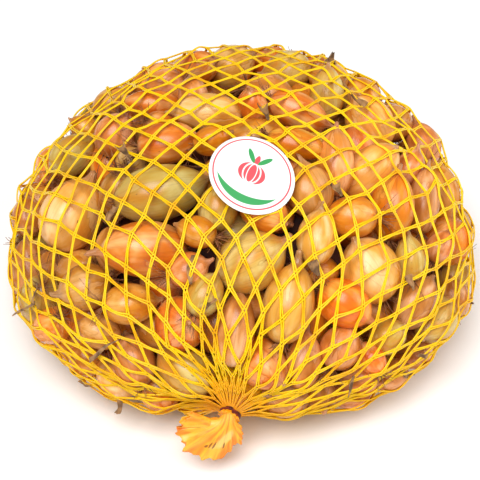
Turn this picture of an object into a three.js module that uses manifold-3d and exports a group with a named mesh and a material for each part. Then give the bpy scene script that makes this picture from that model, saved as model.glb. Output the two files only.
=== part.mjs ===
// Net of onion sets: small seed onions in a tubular net that is gathered and tied at both ends.
// Millimetres, +Z up. The origin is the middle of the flat spot that the bag rests on.
// -Y is the front, where one tied end of the net hangs down to the ground.

import * as THREE from "three";
import { mergeVertices } from "three/addons/utils/BufferGeometryUtils.js";
import Module from "manifold-3d";

// ---- Driving dimensions -------------------------------------------------------------------

// The filled bag is a low dome. Its plan radius is given every 30 degrees, from +X towards +Y.
const PLAN_RADII = [90, 91, 96, 97, 90, 87, 89, 88, 83, 82, 86, 91];
const BELT_HEIGHT = 29; // height of the widest level
const TOP_RISE = 65.5; // from the widest level to the top
const BELLY_DROP = 37; // from the widest level to where the underside would close, below ground

// The heap inside: a core, with the outer onions fused to it.
const CORE_LEVEL = 0.79; // size of the core as a share of the dome
const PEG_RADIUS = 2.5; // of what holds an onion that touches neither the core nor a held onion
const PEG_DEPTH = 8; // how far it runs into the core
const LEAST_VOLUME = 200; // of a loose onion that is held, in cubic millimetres
const SHOWN_LEVEL = 0.82; // common onions whose middles lie further in are part of the core
const UNDER_RADIUS = 54; // so are the ones under the bag, this near its middle
const FILL_WIDTH = [13, 19]; // thickness of a common onion, least and most
const FILL_SLIMNESS = [1.0, 1.5]; // length over thickness
const FILL_CLEARANCE = 0.3; // how near they start to a placed onion, as a share of thickness
const VIEW_CLEARANCE = 0.1; // the same for one that would hide a placed onion from the front
const FILL_SEED = 20417;
const FILL_LAYERS = [
  { level: 0.91, count: 285, press: 0.25 }, // against the net
  { level: 0.72, count: 120, press: 0.05 }, // seen through the gaps
];

// Settling: onions start small, grow to full size and push each other apart.
const SETTLE_STEPS = 110;
const START_SIZE = 0.55;
const PUSH = 0.36; // share of an overlap that one step takes away
const PULL = 0.3; // share of the way back to its place that a placed onion takes in a step
const HOLD = 0.6; // share of the way back inside that a step takes, where an onion sticks out
const GROWTH_PACE = 1.6; // full size is reached after 1 / GROWTH_PACE of the steps
const REACH = 45; // onions with middles further apart than this can't touch
const TIE_ROOM = 13; // onions stay this far from the ties, where the net runs together
const ROOT_BALL = 0.84; // radius of the ball at the root end, as a share of the middle one's
const NECK_BALL = 0.62; // and of the one at the neck end

// The view in which the large onions are placed, from the front and above.
const VIEW_ELEVATION = THREE.MathUtils.degToRad(43);
const VIEW_DISTANCE = 570;
const POINTS_PER_MM = 2.55; // picture points for a millimetre at the middle of the bag
const PICTURE_MIDDLE = { x: 239, y: 245 };

// Tied ends: where each tie sits, and the way that its tail points.
const TIE_RADIUS = 4.6;
const TIE_WIDTH = 3.6;
const NECK_LENGTH = 12;
const NECK_RADII = [11, 3.2]; // inside the bag and at the tie
const NECK_PLEATS = 8;
// A tail is a flattened tube of film that opens to a ragged fan. Its reach is given at even
// steps of its opening.
const TAIL_REACHES = [15, 18, 19.6, 18.2, 19.6, 17, 16.8, 15.6, 13.6, 10.6, 11.4, 10.4, 8.4, 7.5];
const TAIL_BEND = 2; // how far the tail runs on from its tie before it hangs
const TAIL_RADII = [3.4, 2.2]; // half depth at the tie and at the ragged edge
const TAIL_WALL = 0.9;
const TAIL_INSET = 0.9; // opening of the tail's inside as a share of its outside
const TAIL_ROOT = 0.35; // share of the reach over which the tail is solid
const TAIL_FOLDS = 5;

// Onward is the way out of the bag at a tie. The tail hangs along down, with side along its
// width. It opens from the first angle to the last, in degrees from down towards side.
const ENDS = {
  front: {
    tie: [-3, -80, 22],
    onward: [-0.36, -0.9, -0.22],
    down: [0, -0.42, -0.91],
    side: [0.99, 0.12, 0],
    opening: [-100, 72],
  },
  back: {
    tie: [9, 94, 21],
    onward: [0.2, 0.95, -0.2],
    down: [0.1, 0.42, -0.9],
    side: [-0.99, 0.1, 0],
    opening: [-76, 64],
  },
};

// The round paper label that lies on top of the net.
const LABEL_RADIUS = 15;
const LABEL_THICKNESS = 0.6;
const LABEL_MIDDLE = [4.5, -31]; // plan position
const LABEL_LIFT = 1.5; // above the dome, on the net's threads
const LABEL_SLOPE = [-0.16, 0.32]; // rise to the right and to the back
const LABEL_BEND_RADIUS = 120;
const LABEL_HEADROOM = 10; // nothing of the heap stands this high over the label

const GAP = 0.3; // between neighbouring pieces
const GOLDEN_TURN = Math.PI * (3 - Math.sqrt(5)); // spreads points evenly round an axis

// Onions that can be told apart from the front. x and y are the picture point of the middle.
// Length and thickness are in mm without the dried neck. Heading is the way that the neck
// points in the picture, in degrees, anticlockwise from the right. Lean is how far the neck
// turns out of the picture plane towards the viewer.
const PLACED_ONIONS = [
  // x, y, length, thickness, heading, lean
  [232, 66, 20, 18.5, 30, 10],
  [288, 72, 20, 16.5, 190, 0],
  [193, 95, 14, 12, 100, 0],
  [165, 83, 15.5, 11, 190, 0],
  [152, 104, 22, 12, 180, 0],
  [210, 112, 26.5, 15.5, 178, 0],
  [250, 105, 14, 12, 90, 40],
  [298, 112, 24, 14.5, 335, 0],
  [328, 92, 21, 14, 86, 10],
  [370, 122, 23, 18.5, 124, 0],
  [110, 102, 16.5, 13, 205, 0],
  [84, 128, 13, 11, 150, 0],
  [115, 135, 17.5, 16.5, 60, 20],
  [168, 143, 23, 16.5, 10, 0],
  [212, 140, 14.5, 11, 20, 0],
  [72, 155, 20, 15.5, 40, 0],
  [297, 145, 22, 12, 345, 0],
  [336, 162, 25, 14.5, 88, 0],
  [428, 140, 18.5, 14, 105, 0],
  [370, 170, 26, 17.5, 40, 0],
  [410, 168, 14.5, 12, 60, 0],
  [72, 215, 28.5, 24, 62, 0],
  [160, 193, 34, 21, 12, 0],
  [310, 190, 20, 17.5, 100, 0],
  [27, 218, 16.5, 13, 90, 0],
  [215, 212, 16.5, 14.5, 80, 0],
  [200, 228, 14.5, 12, 170, 0],
  [392, 206, 25, 16.5, 84, 0],
  [352, 217, 18.5, 15.5, 180, 0],
  [317, 238, 19.5, 14, 84, 0],
  [425, 200, 25, 12, 82, 0],
  [145, 250, 31.5, 21, 180, 0],
  [252, 263, 26, 22, 28, 0],
  [368, 273, 25, 22, 115, 15],
  [410, 259, 16.5, 12, 95, 0],
  [440, 247, 13, 11, 60, 0],
  [28, 272, 25, 14.5, 92, 0],
  [85, 288, 19.5, 17.5, 200, 0],
  [130, 304, 19.5, 15.5, 5, 0],
  [183, 322, 20, 19.5, 30, 70],
  [200, 295, 16.5, 13, 60, 0],
  [190, 272, 14.5, 13, 20, 0],
  [347, 302, 21, 17.5, 325, 0],
  [288, 304, 28.5, 19.5, 80, 0],
  [416, 303, 21, 15.5, 62, 0],
  [455, 300, 15.5, 13, 100, 0],
  [238, 332, 26, 14.5, 88, 0],
  [100, 332, 16.5, 13, 160, 0],
  [133, 363, 19.5, 15.5, 112, 0],
  [88, 358, 15.5, 13, 60, 0],
  [187, 373, 23, 18.5, 142, 0],
  [340, 346, 16.5, 14.5, 70, 0],
  [385, 340, 14.5, 13, 40, 0],
  [372, 359, 13, 11, 120, 0],
  [360, 377, 14.5, 13, 200, 0],
  [392, 378, 14.5, 12, 30, 0],
  [302, 362, 21, 13, 84, 0],
];

// Dried leaf ends that stick out through the net. Base and end are picture points, and the
// depth of both is that of the dome.
const LEAF_ENDS = [
  { base: [328, 70], end: [333, 52], width: 5 },
  { base: [366, 112], end: [342, 83], width: 5 },
  { base: [42, 286], end: [20, 314], width: 5 },
  { base: [124, 400], end: [116, 412], width: 5 },
];
const LEAF_THICKNESS = 2;

// One onion from root to neck: distance along its half length, and share of its half thickness.
const PLACED_OUTLINE = [
  [-1, 0],
  [-0.8, 0.6],
  [-0.12, 1.0],
  [0.52, 0.76],
  [0.96, 0.24],
  [1.3, 0],
];
const PLACED_SIDES = 7;
const FILL_OUTLINE = [
  [-1, 0],
  [-0.62, 0.8],
  [0.3, 0.97],
  [1.15, 0],
];
const FILL_SIDES = 6;

// ---- Small helpers --------------------------------------------------------------------------

const wasm = await Module();
wasm.setup();

const UP = new THREE.Vector3(0, 0, 1);
const BELT_MIDDLE = new THREE.Vector3(0, 0, BELT_HEIGHT);

/** A repeatable row of numbers from 0 up to 1. */
function drawer(seed) {
  let state = seed;
  return () => {
    state = (state * 1664525 + 1013904223) % 4294967296;
    return state / 4294967296;
  };
}

/** The unit direction with a given rise and a given turn from +X. */
function directionOf(rise, turn) {
  const flat = Math.sqrt(1 - rise * rise);
  return new THREE.Vector3(flat * Math.cos(turn), flat * Math.sin(turn), rise);
}

/** The closed solid that a geometry bounds, turned the right way out. */
function solidOf(geometry) {
  const bare = geometry.clone();
  bare.deleteAttribute("normal");
  bare.deleteAttribute("uv");
  const merged = mergeVertices(bare, 1e-5);
  const vertProperties = Float32Array.from(merged.attributes.position.array);
  const triVerts = Uint32Array.from(merged.index.array);
  const solid = new wasm.Manifold(new wasm.Mesh({ numProp: 3, vertProperties, triVerts }));
  if (solid.volume() > 0) {
    return solid;
  }
  triVerts.reverse();
  return new wasm.Manifold(new wasm.Mesh({ numProp: 3, vertProperties, triVerts }));
}

/** A geometry with the faces of a solid. */
function geometryOf(solid) {
  const { vertProperties, triVerts } = solid.getMesh();
  const geometry = new THREE.BufferGeometry();
  geometry.setAttribute("position", new THREE.BufferAttribute(vertProperties, 3));
  geometry.setIndex(new THREE.BufferAttribute(triVerts, 1));
  geometry.computeVertexNormals();
  return geometry;
}

/** The one outer body of a solid: closed-in hollows are filled and loose scraps dropped. */
function outerBody(solid) {
  return solid.decompose().reduce((best, piece) => (piece.volume() > best.volume() ? piece : best));
}

/** A closed geometry over a grid of rings, with a point at each end. */
function ringedGeometry(ringCount, sides, pointAt, firstPole, lastPole) {
  const points = [firstPole];
  for (let ring = 0; ring < ringCount; ring++) {
    for (let side = 0; side < sides; side++) {
      points.push(pointAt(ring, side));
    }
  }
  points.push(lastPole);
  const last = points.length - 1;
  const index = [];
  for (let side = 0; side < sides; side++) {
    const next = (side + 1) % sides;
    index.push(0, 1 + next, 1 + side);
    for (let ring = 0; ring < ringCount - 1; ring++) {
      const low = 1 + ring * sides;
      const high = low + sides;
      index.push(low + side, low + next, high + next, low + side, high + next, high + side);
    }
    const top = 1 + (ringCount - 1) * sides;
    index.push(last, top + side, top + next);
  }
  const geometry = new THREE.BufferGeometry().setFromPoints(points);
  geometry.setIndex(index);
  return geometry;
}

// ---- The dome -------------------------------------------------------------------------------

/** Plan radius of the dome at an angle, on a smooth closed curve through PLAN_RADII. */
function planRadius(angle) {
  const count = PLAN_RADII.length;
  const turn = ((angle / (2 * Math.PI)) * count + count) % count;
  const corner = Math.floor(turn);
  const t = turn - corner;
  const at = (step) => PLAN_RADII[(corner + step + count) % count];
  const [a, b, c, d] = [at(-1), at(0), at(1), at(2)];
  const bend = (2 * a - 5 * b + 4 * c - d) * t * t + (-a + 3 * b - 3 * c + d) * t * t * t;
  return 0.5 * (2 * b + (c - a) * t + bend);
}

/** How far out a point lies: 0 at the middle of the widest level and 1 on the dome. */
function levelAt(point) {
  const radius = planRadius(Math.atan2(point.y, point.x));
  const rise = point.z - BELT_HEIGHT;
  const height = rise > 0 ? TOP_RISE : BELLY_DROP;
  const out = (point.x * point.x + point.y * point.y) / (radius * radius);
  return Math.sqrt(out + (rise * rise) / (height * height));
}

/** The way that the dome's level rises at a point, per millimetre. */
function slopeAt(point) {
  const radius = planRadius(Math.atan2(point.y, point.x));
  const rise = point.z - BELT_HEIGHT;
  const height = rise > 0 ? TOP_RISE : BELLY_DROP;
  const level = Math.max(levelAt(point), 1e-6);
  const slope = new THREE.Vector3(point.x / (radius * radius), point.y / (radius * radius), 0);
  slope.z = rise / (height * height);
  return slope.divideScalar(level);
}

/** The point of the dome that a direction from its middle meets, at a share of its size. */
function domePoint(direction, share) {
  const probe = BELT_MIDDLE.clone().add(direction);
  return BELT_MIDDLE.clone().addScaledVector(direction, share / levelAt(probe));
}

// ---- The view from the front and above ------------------------------------------------------

const VIEW_BACK = new THREE.Vector3(0, -Math.cos(VIEW_ELEVATION), Math.sin(VIEW_ELEVATION));
const VIEW_UP = new THREE.Vector3(0, Math.sin(VIEW_ELEVATION), Math.cos(VIEW_ELEVATION));
const EYE = BELT_MIDDLE.clone().addScaledVector(VIEW_BACK, VIEW_DISTANCE);

/** The way from the eye through a picture point. */
function viewRay(x, y) {
  const across = (x - PICTURE_MIDDLE.x) / POINTS_PER_MM;
  const up = (PICTURE_MIDDLE.y - y) / POINTS_PER_MM;
  const target = BELT_MIDDLE.clone().addScaledVector(VIEW_UP, up);
  target.x += across;
  return target.sub(EYE).normalize();
}

/** Where the ray first reaches a depth under the dome, or comes nearest to it. */
function underDome(ray, depth) {
  const step = 0.5;
  let best = null;
  let least = Infinity;
  for (let far = VIEW_DISTANCE - 150; far < VIEW_DISTANCE + 150; far += step) {
    const point = EYE.clone().addScaledVector(ray, far);
    const outside = (levelAt(point) - 1) / slopeAt(point).length() + depth;
    if (outside < least) {
      least = outside;
      best = point;
    }
    if (outside <= 0) {
      break;
    }
  }
  return best;
}

/** The direction in space of a heading in the picture with a lean towards the viewer. */
function headingDirection(heading, lean) {
  const turn = THREE.MathUtils.degToRad(heading);
  const tip = THREE.MathUtils.degToRad(lean);
  const flat = VIEW_UP.clone().multiplyScalar(Math.sin(turn));
  flat.x += Math.cos(turn);
  return flat.multiplyScalar(Math.cos(tip)).addScaledVector(VIEW_BACK, Math.sin(tip));
}

// ---- The label's seat -----------------------------------------------------------------------

/** Height of the label's underside, at a distance from its middle. */
function labelHeight(across, back) {
  const [middleX, middleY] = LABEL_MIDDLE;
  const [slopeX, slopeY] = LABEL_SLOPE;
  const under = domePoint(new THREE.Vector3(middleX, middleY, TOP_RISE), 1).z;
  const sag = (across * across + back * back) / (2 * LABEL_BEND_RADIUS);
  return under + LABEL_LIFT + slopeX * across + slopeY * back - sag;
}

// ---- Onions ---------------------------------------------------------------------------------

/** One onion. Its neck points along axis. The three balls stand for it while it settles. */
function onion(middle, axis, length, thickness) {
  const half = length / 2;
  const wide = thickness / 2;
  const balls = [
    { along: Math.min(0, ROOT_BALL * wide - half), radius: ROOT_BALL * wide },
    { along: 0, radius: wide },
    { along: Math.max(0, half - NECK_BALL * wide), radius: NECK_BALL * wide },
  ];
  return { middle, axis, half, wide, balls };
}

/** The onions that can be told apart, each held near the ray that it shows on. */
function placedOnions() {
  return PLACED_ONIONS.map(([x, y, length, thickness, heading, lean]) => {
    const ray = viewRay(x, y);
    const middle = underDome(ray, thickness / 2);
    const axis = headingDirection(heading, lean);
    const placed = onion(middle, axis, length, thickness);
    placed.press = 0;
    placed.home = middle.clone();
    placed.heading = axis.clone();
    return placed;
  });
}

/** Common onions in even layers round the dome, clear of the placed ones. */
function fillOnions(placed) {
  const draw = drawer(FILL_SEED);
  const between = ([low, high]) => low + (high - low) * draw();
  const placedBalls = placed.flatMap((item) => ballPlaces(item, 1));
  const takes = (ball, middle, thickness) => {
    const offset = ball.centre.clone().sub(middle);
    const behind = offset.dot(middle.clone().sub(EYE).normalize());
    const apart = Math.sqrt(offset.lengthSq() - behind * behind);
    const hidden = behind > 0 && apart < ball.radius + VIEW_CLEARANCE * thickness;
    return hidden || offset.length() < ball.radius + FILL_CLEARANCE * thickness;
  };
  const fill = [];
  for (const { level, count, press } of FILL_LAYERS) {
    for (let item = 0; item < count; item++) {
      const thickness = between(FILL_WIDTH);
      const length = thickness * between(FILL_SLIMNESS);
      const axis = directionOf(2 * draw() - 1, 2 * Math.PI * draw());
      const direction = directionOf(1 - (2 * item + 1) / count, GOLDEN_TURN * item);
      const middle = domePoint(direction, level);
      middle.z = Math.max(middle.z, thickness / 2);
      if (!placedBalls.some((ball) => takes(ball, middle, thickness))) {
        fill.push({ ...onion(middle, axis, length, thickness), press });
      }
    }
  }
  return fill;
}

/** Places of an onion's three balls. */
function ballPlaces(item, size) {
  return item.balls.map((ball) => ({
    centre: item.middle.clone().addScaledVector(item.axis, ball.along * size),
    radius: ball.radius * size,
    push: new THREE.Vector3(),
  }));
}

/** Push overlapping balls of different onions apart. */
function pushApart(groups) {
  const offset = new THREE.Vector3();
  for (let first = 0; first < groups.length; first++) {
    for (let second = first + 1; second < groups.length; second++) {
      if (groups[first][1].centre.distanceTo(groups[second][1].centre) > REACH) {
        continue;
      }
      for (const one of groups[first]) {
        for (const other of groups[second]) {
          offset.subVectors(one.centre, other.centre);
          const distance = offset.length();
          const overlap = one.radius + other.radius - distance;
          if (overlap > 0 && distance > 1e-9) {
            offset.multiplyScalar((PUSH * overlap) / distance);
            one.push.add(offset);
            other.push.sub(offset);
          }
        }
      }
    }
  }
}

/** Push balls back under the dome and above the ground. */
function pushInside(groups) {
  for (const group of groups) {
    for (const ball of group) {
      const slope = slopeAt(ball.centre);
      const steep = slope.length();
      const outside = (levelAt(ball.centre) - 1) / steep + ball.radius;
      if (outside > 0) {
        ball.push.addScaledVector(slope, (-HOLD * outside) / steep);
      }
      const sunk = 0.9 * ball.radius - ball.centre.z;
      if (sunk > 0) {
        ball.push.z += HOLD * sunk;
      }
    }
  }
}

/** Push balls away from the ties, where the net runs together, and from below them. */
function pushFromTies(groups) {
  const offset = new THREE.Vector3();
  for (const { tie } of Object.values(ENDS)) {
    for (const group of groups) {
      for (const ball of group) {
        offset.set(...tie).sub(ball.centre);
        offset.z = Math.min(offset.z, 0);
        const distance = offset.length();
        const overlap = ball.radius + TIE_ROOM - distance;
        if (overlap > 0) {
          ball.push.addScaledVector(offset, (-HOLD * overlap) / distance);
        }
      }
    }
  }
}

/** Push balls down to below the label. */
function pushUnderLabel(groups) {
  const [middleX, middleY] = LABEL_MIDDLE;
  for (const group of groups) {
    for (const ball of group) {
      const across = ball.centre.x - middleX;
      const back = ball.centre.y - middleY;
      const above = ball.centre.z + ball.radius - labelHeight(across, back);
      if (Math.hypot(across, back) < LABEL_RADIUS && above > 0) {
        ball.push.z -= HOLD * above;
      }
    }
  }
}

/** Let all onions grow to full size and find room beside each other. */
function settledOnions() {
  const placed = placedOnions();
  const onions = [...placed, ...fillOnions(placed)];
  for (let step = 0; step < SETTLE_STEPS; step++) {
    const grown = Math.min(1, (GROWTH_PACE * step) / SETTLE_STEPS);
    const size = START_SIZE + (1 - START_SIZE) * grown;
    const groups = onions.map((item) => ballPlaces(item, size));
    pushApart(groups);
    pushInside(groups);
    pushFromTies(groups);
    pushUnderLabel(groups);
    onions.forEach((item, index) => {
      const [root, belly, neck] = groups[index];
      for (const ball of groups[index]) {
        item.middle.addScaledVector(ball.push, 1 / 3);
      }
      item.middle.addScaledVector(slopeAt(item.middle).normalize(), item.press);
      const twist = neck.push.clone().sub(root.push);
      item.axis.addScaledVector(twist, 0.5 / item.half).normalize();
      if (item.home) {
        item.middle.lerp(item.home, PULL);
        item.axis.lerp(item.heading, PULL).normalize();
      }
    });
  }
  return onions;
}

/** The solid of one onion. */
function onionSolid(item) {
  const points = item.home ? PLACED_OUTLINE : FILL_OUTLINE;
  const outline = points.map(([along, out]) => {
    return new THREE.Vector2(out * item.wide, along * item.half);
  });
  const geometry = new THREE.LatheGeometry(outline, item.home ? PLACED_SIDES : FILL_SIDES);
  const turn = new THREE.Quaternion().setFromUnitVectors(new THREE.Vector3(0, 1, 0), item.axis);
  geometry.applyQuaternion(turn);
  geometry.translate(item.middle.x, item.middle.y, item.middle.z);
  return solidOf(geometry);
}

/** The smooth core that the shown onions are fused to. */
function coreSolid() {
  const rings = 8;
  const sides = 16;
  const pointAt = (ring, side) => {
    const rise = Math.sin(Math.PI * ((ring + 1) / (rings + 1) - 0.5));
    return domePoint(directionOf(rise, (2 * Math.PI * side) / sides), CORE_LEVEL);
  };
  const bottom = domePoint(UP.clone().negate(), CORE_LEVEL);
  const top = domePoint(UP, CORE_LEVEL);
  return solidOf(ringedGeometry(rings, sides, pointAt, bottom, top));
}

/** One dried leaf end: a flat tapered sliver from under the dome out to its tip. */
function leafSolid({ base, end, width }) {
  const from = underDome(viewRay(...base), 5);
  const to = underDome(viewRay(...end), 0);
  const length = from.distanceTo(to);
  const geometry = new THREE.ConeGeometry(width / 2, length, 6);
  geometry.scale(1, 1, LEAF_THICKNESS / width);
  const away = to.clone().sub(from).normalize();
  const turn = new THREE.Quaternion().setFromUnitVectors(new THREE.Vector3(0, 1, 0), away);
  geometry.applyQuaternion(turn);
  const middle = from.clone().lerp(to, 0.5);
  geometry.translate(middle.x, middle.y, middle.z);
  return solidOf(geometry);
}

/** Everything above the ground. */
function aboveGround() {
  const size = 400;
  return solidOf(new THREE.BoxGeometry(size, size, size).translate(0, 0, size / 2));
}

/** Whether an onion shows from outside the bag. */
function isShown(item) {
  const under = item.middle.z < BELT_HEIGHT && Math.hypot(item.middle.x, item.middle.y) < UNDER_RADIUS;
  return Boolean(item.home) || (levelAt(item.middle) > SHOWN_LEVEL && !under);
}

/** A short peg from an onion of a loose body in to the core. */
function pegSolid(body, onions) {
  const { min, max } = body.boundingBox();
  const centre = new THREE.Vector3(...min).lerp(new THREE.Vector3(...max), 0.5);
  const far = (item) => item.middle.distanceTo(centre);
  const from = onions.reduce((best, item) => (far(item) < far(best) ? item : best)).middle;
  const inward = BELT_MIDDLE.clone().sub(from).normalize();
  const to = domePoint(inward.clone().negate(), CORE_LEVEL).addScaledVector(inward, PEG_DEPTH);
  const geometry = new THREE.CylinderGeometry(PEG_RADIUS, PEG_RADIUS, from.distanceTo(to), 4);
  const turn = new THREE.Quaternion().setFromUnitVectors(new THREE.Vector3(0, 1, 0), inward);
  const middle = from.clone().lerp(to, 0.5);
  return solidOf(geometry.applyQuaternion(turn).translate(middle.x, middle.y, middle.z));
}

/** The heap of onions, cut flat on the ground and clear of the pieces beside it. */
function onionHeap(neighbours) {
  const onions = settledOnions().filter(isShown);
  const pieces = [coreSolid(), ...onions.map(onionSolid), ...LEAF_ENDS.map(leafSolid)];
  const touching = wasm.Manifold.union(pieces);
  const held = outerBody(touching).volume();
  const loose = touching.decompose().filter((body) => body.volume() > LEAST_VOLUME);
  const pegs = loose.filter((body) => body.volume() < held).map((body) => pegSolid(body, onions));
  let heap = wasm.Manifold.union([touching, ...pegs]).intersect(aboveGround());
  for (const neighbour of neighbours) {
    heap = heap.subtract(neighbour);
  }
  return outerBody(heap);
}

// ---- Tied ends of the net -------------------------------------------------------------------

/** Place a geometry that was made along +Z so that it points along direction from a point. */
function aim(geometry, direction, from) {
  const turn = new THREE.Quaternion().setFromUnitVectors(UP, direction.clone().normalize());
  geometry.applyQuaternion(turn);
  geometry.translate(from.x, from.y, from.z);
  return geometry;
}

/** The way out of the bag at a tie. */
function neckDirection(end) {
  return new THREE.Vector3(...end.onward).normalize();
}

/** The pleated cone in which the net runs together before its tie. */
function neckGeometry(end, extra) {
  const rings = 4;
  const sides = NECK_PLEATS * 3;
  const long = NECK_LENGTH - TIE_WIDTH / 2 - GAP;
  const pointAt = (ring, side) => {
    const share = ring / (rings - 1);
    const turn = (2 * Math.PI * side) / sides;
    const flare = NECK_RADII[1] + (NECK_RADII[0] - NECK_RADII[1]) * Math.pow(1 - share, 1.6);
    const pleat = 1 + 0.1 * Math.cos(NECK_PLEATS * turn);
    const radius = flare * pleat + extra;
    const height = long * share - NECK_LENGTH + (share === 1 ? extra : 0);
    return new THREE.Vector3(radius * Math.cos(turn), radius * Math.sin(turn), height);
  };
  const first = new THREE.Vector3(0, 0, -NECK_LENGTH);
  const last = new THREE.Vector3(0, 0, long - NECK_LENGTH + extra);
  const geometry = ringedGeometry(rings, sides, pointAt, first, last);
  return aim(geometry, neckDirection(end), new THREE.Vector3(...end.tie));
}

/** The tie: a low barrel wound round the gathered net. */
function tieGeometry(end, extra) {
  const half = TIE_WIDTH / 2 + extra;
  const radius = TIE_RADIUS + extra;
  const profile = [
    [0, -half],
    [0.75 * radius, -half],
    [radius, -0.45 * half],
    [radius, 0.45 * half],
    [0.75 * radius, half],
    [0, half],
  ].map(([out, along]) => new THREE.Vector2(out, along));
  const geometry = new THREE.LatheGeometry(profile, 16).rotateX(Math.PI / 2);
  return aim(geometry, neckDirection(end), new THREE.Vector3(...end.tie));
}

/** How far a tail reaches at a share of its opening. */
function tailReach(share) {
  const place = share * (TAIL_REACHES.length - 1);
  const corner = Math.min(Math.floor(place), TAIL_REACHES.length - 2);
  const step = place - corner;
  return TAIL_REACHES[corner] * (1 - step) + TAIL_REACHES[corner + 1] * step;
}

/** The tail beyond a tie: a flattened tube of film that bends down and opens to a ragged fan. */
function tailGeometry(end) {
  const steps = 3;
  const sides = 2 * (TAIL_REACHES.length - 1);
  const down = new THREE.Vector3(...end.down).normalize();
  const side = new THREE.Vector3(...end.side).normalize();
  const onward = neckDirection(end);
  const [low, high] = end.opening.map(THREE.MathUtils.degToRad);
  const start = new THREE.Vector3(...end.tie).addScaledVector(onward, TIE_WIDTH / 2 + GAP);
  const placed = (share, turn, wall) => {
    const opened = (1 - Math.cos(turn)) / 2;
    const inset = wall > 0 ? TAIL_INSET : 1;
    const angle = (low + high) / 2 + (opened - 0.5) * inset * (high - low);
    const reach = share * tailReach(opened);
    const straight = Math.exp(-reach / TAIL_BEND);
    const ahead = TAIL_BEND * (1 - straight);
    const root = (TAIL_RADII[0] - wall) * (1 - share);
    const fold = 0.5 * share * Math.sin(2 * TAIL_FOLDS * Math.PI * opened);
    const deep = root + (TAIL_RADII[1] - wall) * share;
    const way = down.clone().multiplyScalar(Math.cos(angle)).addScaledVector(side, Math.sin(angle));
    const point = start.clone().addScaledVector(onward, ahead).addScaledVector(way, reach - ahead);
    const thick = way.lerp(onward, straight).cross(side).normalize();
    point.addScaledVector(side, -root * Math.cos(turn));
    return point.addScaledVector(thick, deep * Math.sin(turn) + fold);
  };
  const pointAt = (ring, at) => {
    const outside = ring <= steps;
    const inward = TAIL_ROOT + ((1 - TAIL_ROOT) * (2 * steps + 1 - ring)) / steps;
    const turn = (2 * Math.PI * at) / sides;
    return placed(outside ? ring / steps : inward, turn, outside ? 0 : TAIL_WALL);
  };
  const middle = (share) => placed(share, Math.PI / 2, 0).lerp(placed(share, -Math.PI / 2, 0), 0.5);
  return ringedGeometry(2 * steps + 2, sides, pointAt, middle(0), middle(TAIL_ROOT));
}

// ---- Label ----------------------------------------------------------------------------------

/** The round label: a thin disc that leans with the onions under it and bends a little. */
function labelGeometry(extra, headroom) {
  const rings = 2;
  const sides = 32;
  const [middleX, middleY] = LABEL_MIDDLE;
  const radius = LABEL_RADIUS + extra;
  const seat = (share, turn, lift) => {
    const across = radius * share * Math.cos(turn);
    const back = radius * share * Math.sin(turn);
    return new THREE.Vector3(middleX + across, middleY + back, labelHeight(across, back) + lift);
  };
  const low = -extra;
  const high = LABEL_THICKNESS + headroom;
  const pointAt = (ring, side) => {
    const below = ring < rings;
    const share = (below ? ring + 1 : 2 * rings - ring) / rings;
    return seat(share, (2 * Math.PI * side) / sides, below ? low : high);
  };
  return ringedGeometry(2 * rings, sides, pointAt, seat(0, 0, low), seat(0, 0, high));
}

// ---- Assembly -------------------------------------------------------------------------------

const FINISH = {
  onion: { color: 0xc98a3c, roughness: 0.45, metalness: 0 },
  net: { color: 0xf3b62c, roughness: 0.5, metalness: 0 },
  tail: { color: 0xf5a93a, roughness: 0.4, metalness: 0 },
  tie: { color: 0x6e2410, roughness: 0.5, metalness: 0 },
  paper: { color: 0xf4f2ec, roughness: 0.45, metalness: 0 },
};

function named(name, geometry, finish) {
  const mesh = new THREE.Mesh(geometry, new THREE.MeshStandardMaterial(finish));
  mesh.name = name;
  return mesh;
}

const bag = new THREE.Group();
const clearances = [solidOf(labelGeometry(GAP, LABEL_HEADROOM))];
for (const [side, end] of Object.entries(ENDS)) {
  const tieRoom = solidOf(tieGeometry(end, GAP));
  const neckRoom = solidOf(neckGeometry(end, GAP));
  const tail = solidOf(tailGeometry(end)).subtract(tieRoom);
  clearances.push(neckRoom, tieRoom);
  bag.add(named(`${side}_neck`, geometryOf(solidOf(neckGeometry(end, 0))), FINISH.net));
  bag.add(named(`${side}_tie`, geometryOf(solidOf(tieGeometry(end, 0))), FINISH.tie));
  bag.add(named(`${side}_tail`, geometryOf(outerBody(tail)), FINISH.tail));
}
bag.add(named("onion_heap", geometryOf(onionHeap(clearances)), FINISH.onion));
bag.add(named("label", geometryOf(solidOf(labelGeometry(0, 0))), FINISH.paper));

export default bag;
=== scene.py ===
"""Net of onion sets: small seed onions in a yellow diamond-mesh net that is tied at both ends.

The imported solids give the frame. The heap of onions, the gathered necks, the ties, the tails and
the label are modelled here in full and stand for their solids. Lengths in the classes are in
millimetres, as in the part's source, and become metres when a mesh is made.
"""

from __future__ import annotations

import logging
import math
from dataclasses import dataclass, field
from enum import Enum
from typing import Callable, Iterator, Sequence

import bmesh
import bpy
import numpy as np
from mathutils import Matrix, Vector

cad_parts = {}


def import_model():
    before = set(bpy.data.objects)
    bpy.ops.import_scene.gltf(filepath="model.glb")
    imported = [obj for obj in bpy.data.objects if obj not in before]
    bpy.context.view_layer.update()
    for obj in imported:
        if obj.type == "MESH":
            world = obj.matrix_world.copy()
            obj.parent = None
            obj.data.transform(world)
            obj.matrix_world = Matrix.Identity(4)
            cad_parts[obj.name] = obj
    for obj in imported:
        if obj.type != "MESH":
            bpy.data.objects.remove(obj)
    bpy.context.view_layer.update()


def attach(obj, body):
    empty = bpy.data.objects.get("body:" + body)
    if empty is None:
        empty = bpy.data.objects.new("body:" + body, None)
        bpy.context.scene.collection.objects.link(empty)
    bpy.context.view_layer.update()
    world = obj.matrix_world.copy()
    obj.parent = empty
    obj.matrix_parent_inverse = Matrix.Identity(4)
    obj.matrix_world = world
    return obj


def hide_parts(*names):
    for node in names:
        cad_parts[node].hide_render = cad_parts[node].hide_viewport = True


LOG = logging.getLogger("onion_net")
Array = np.ndarray
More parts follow.
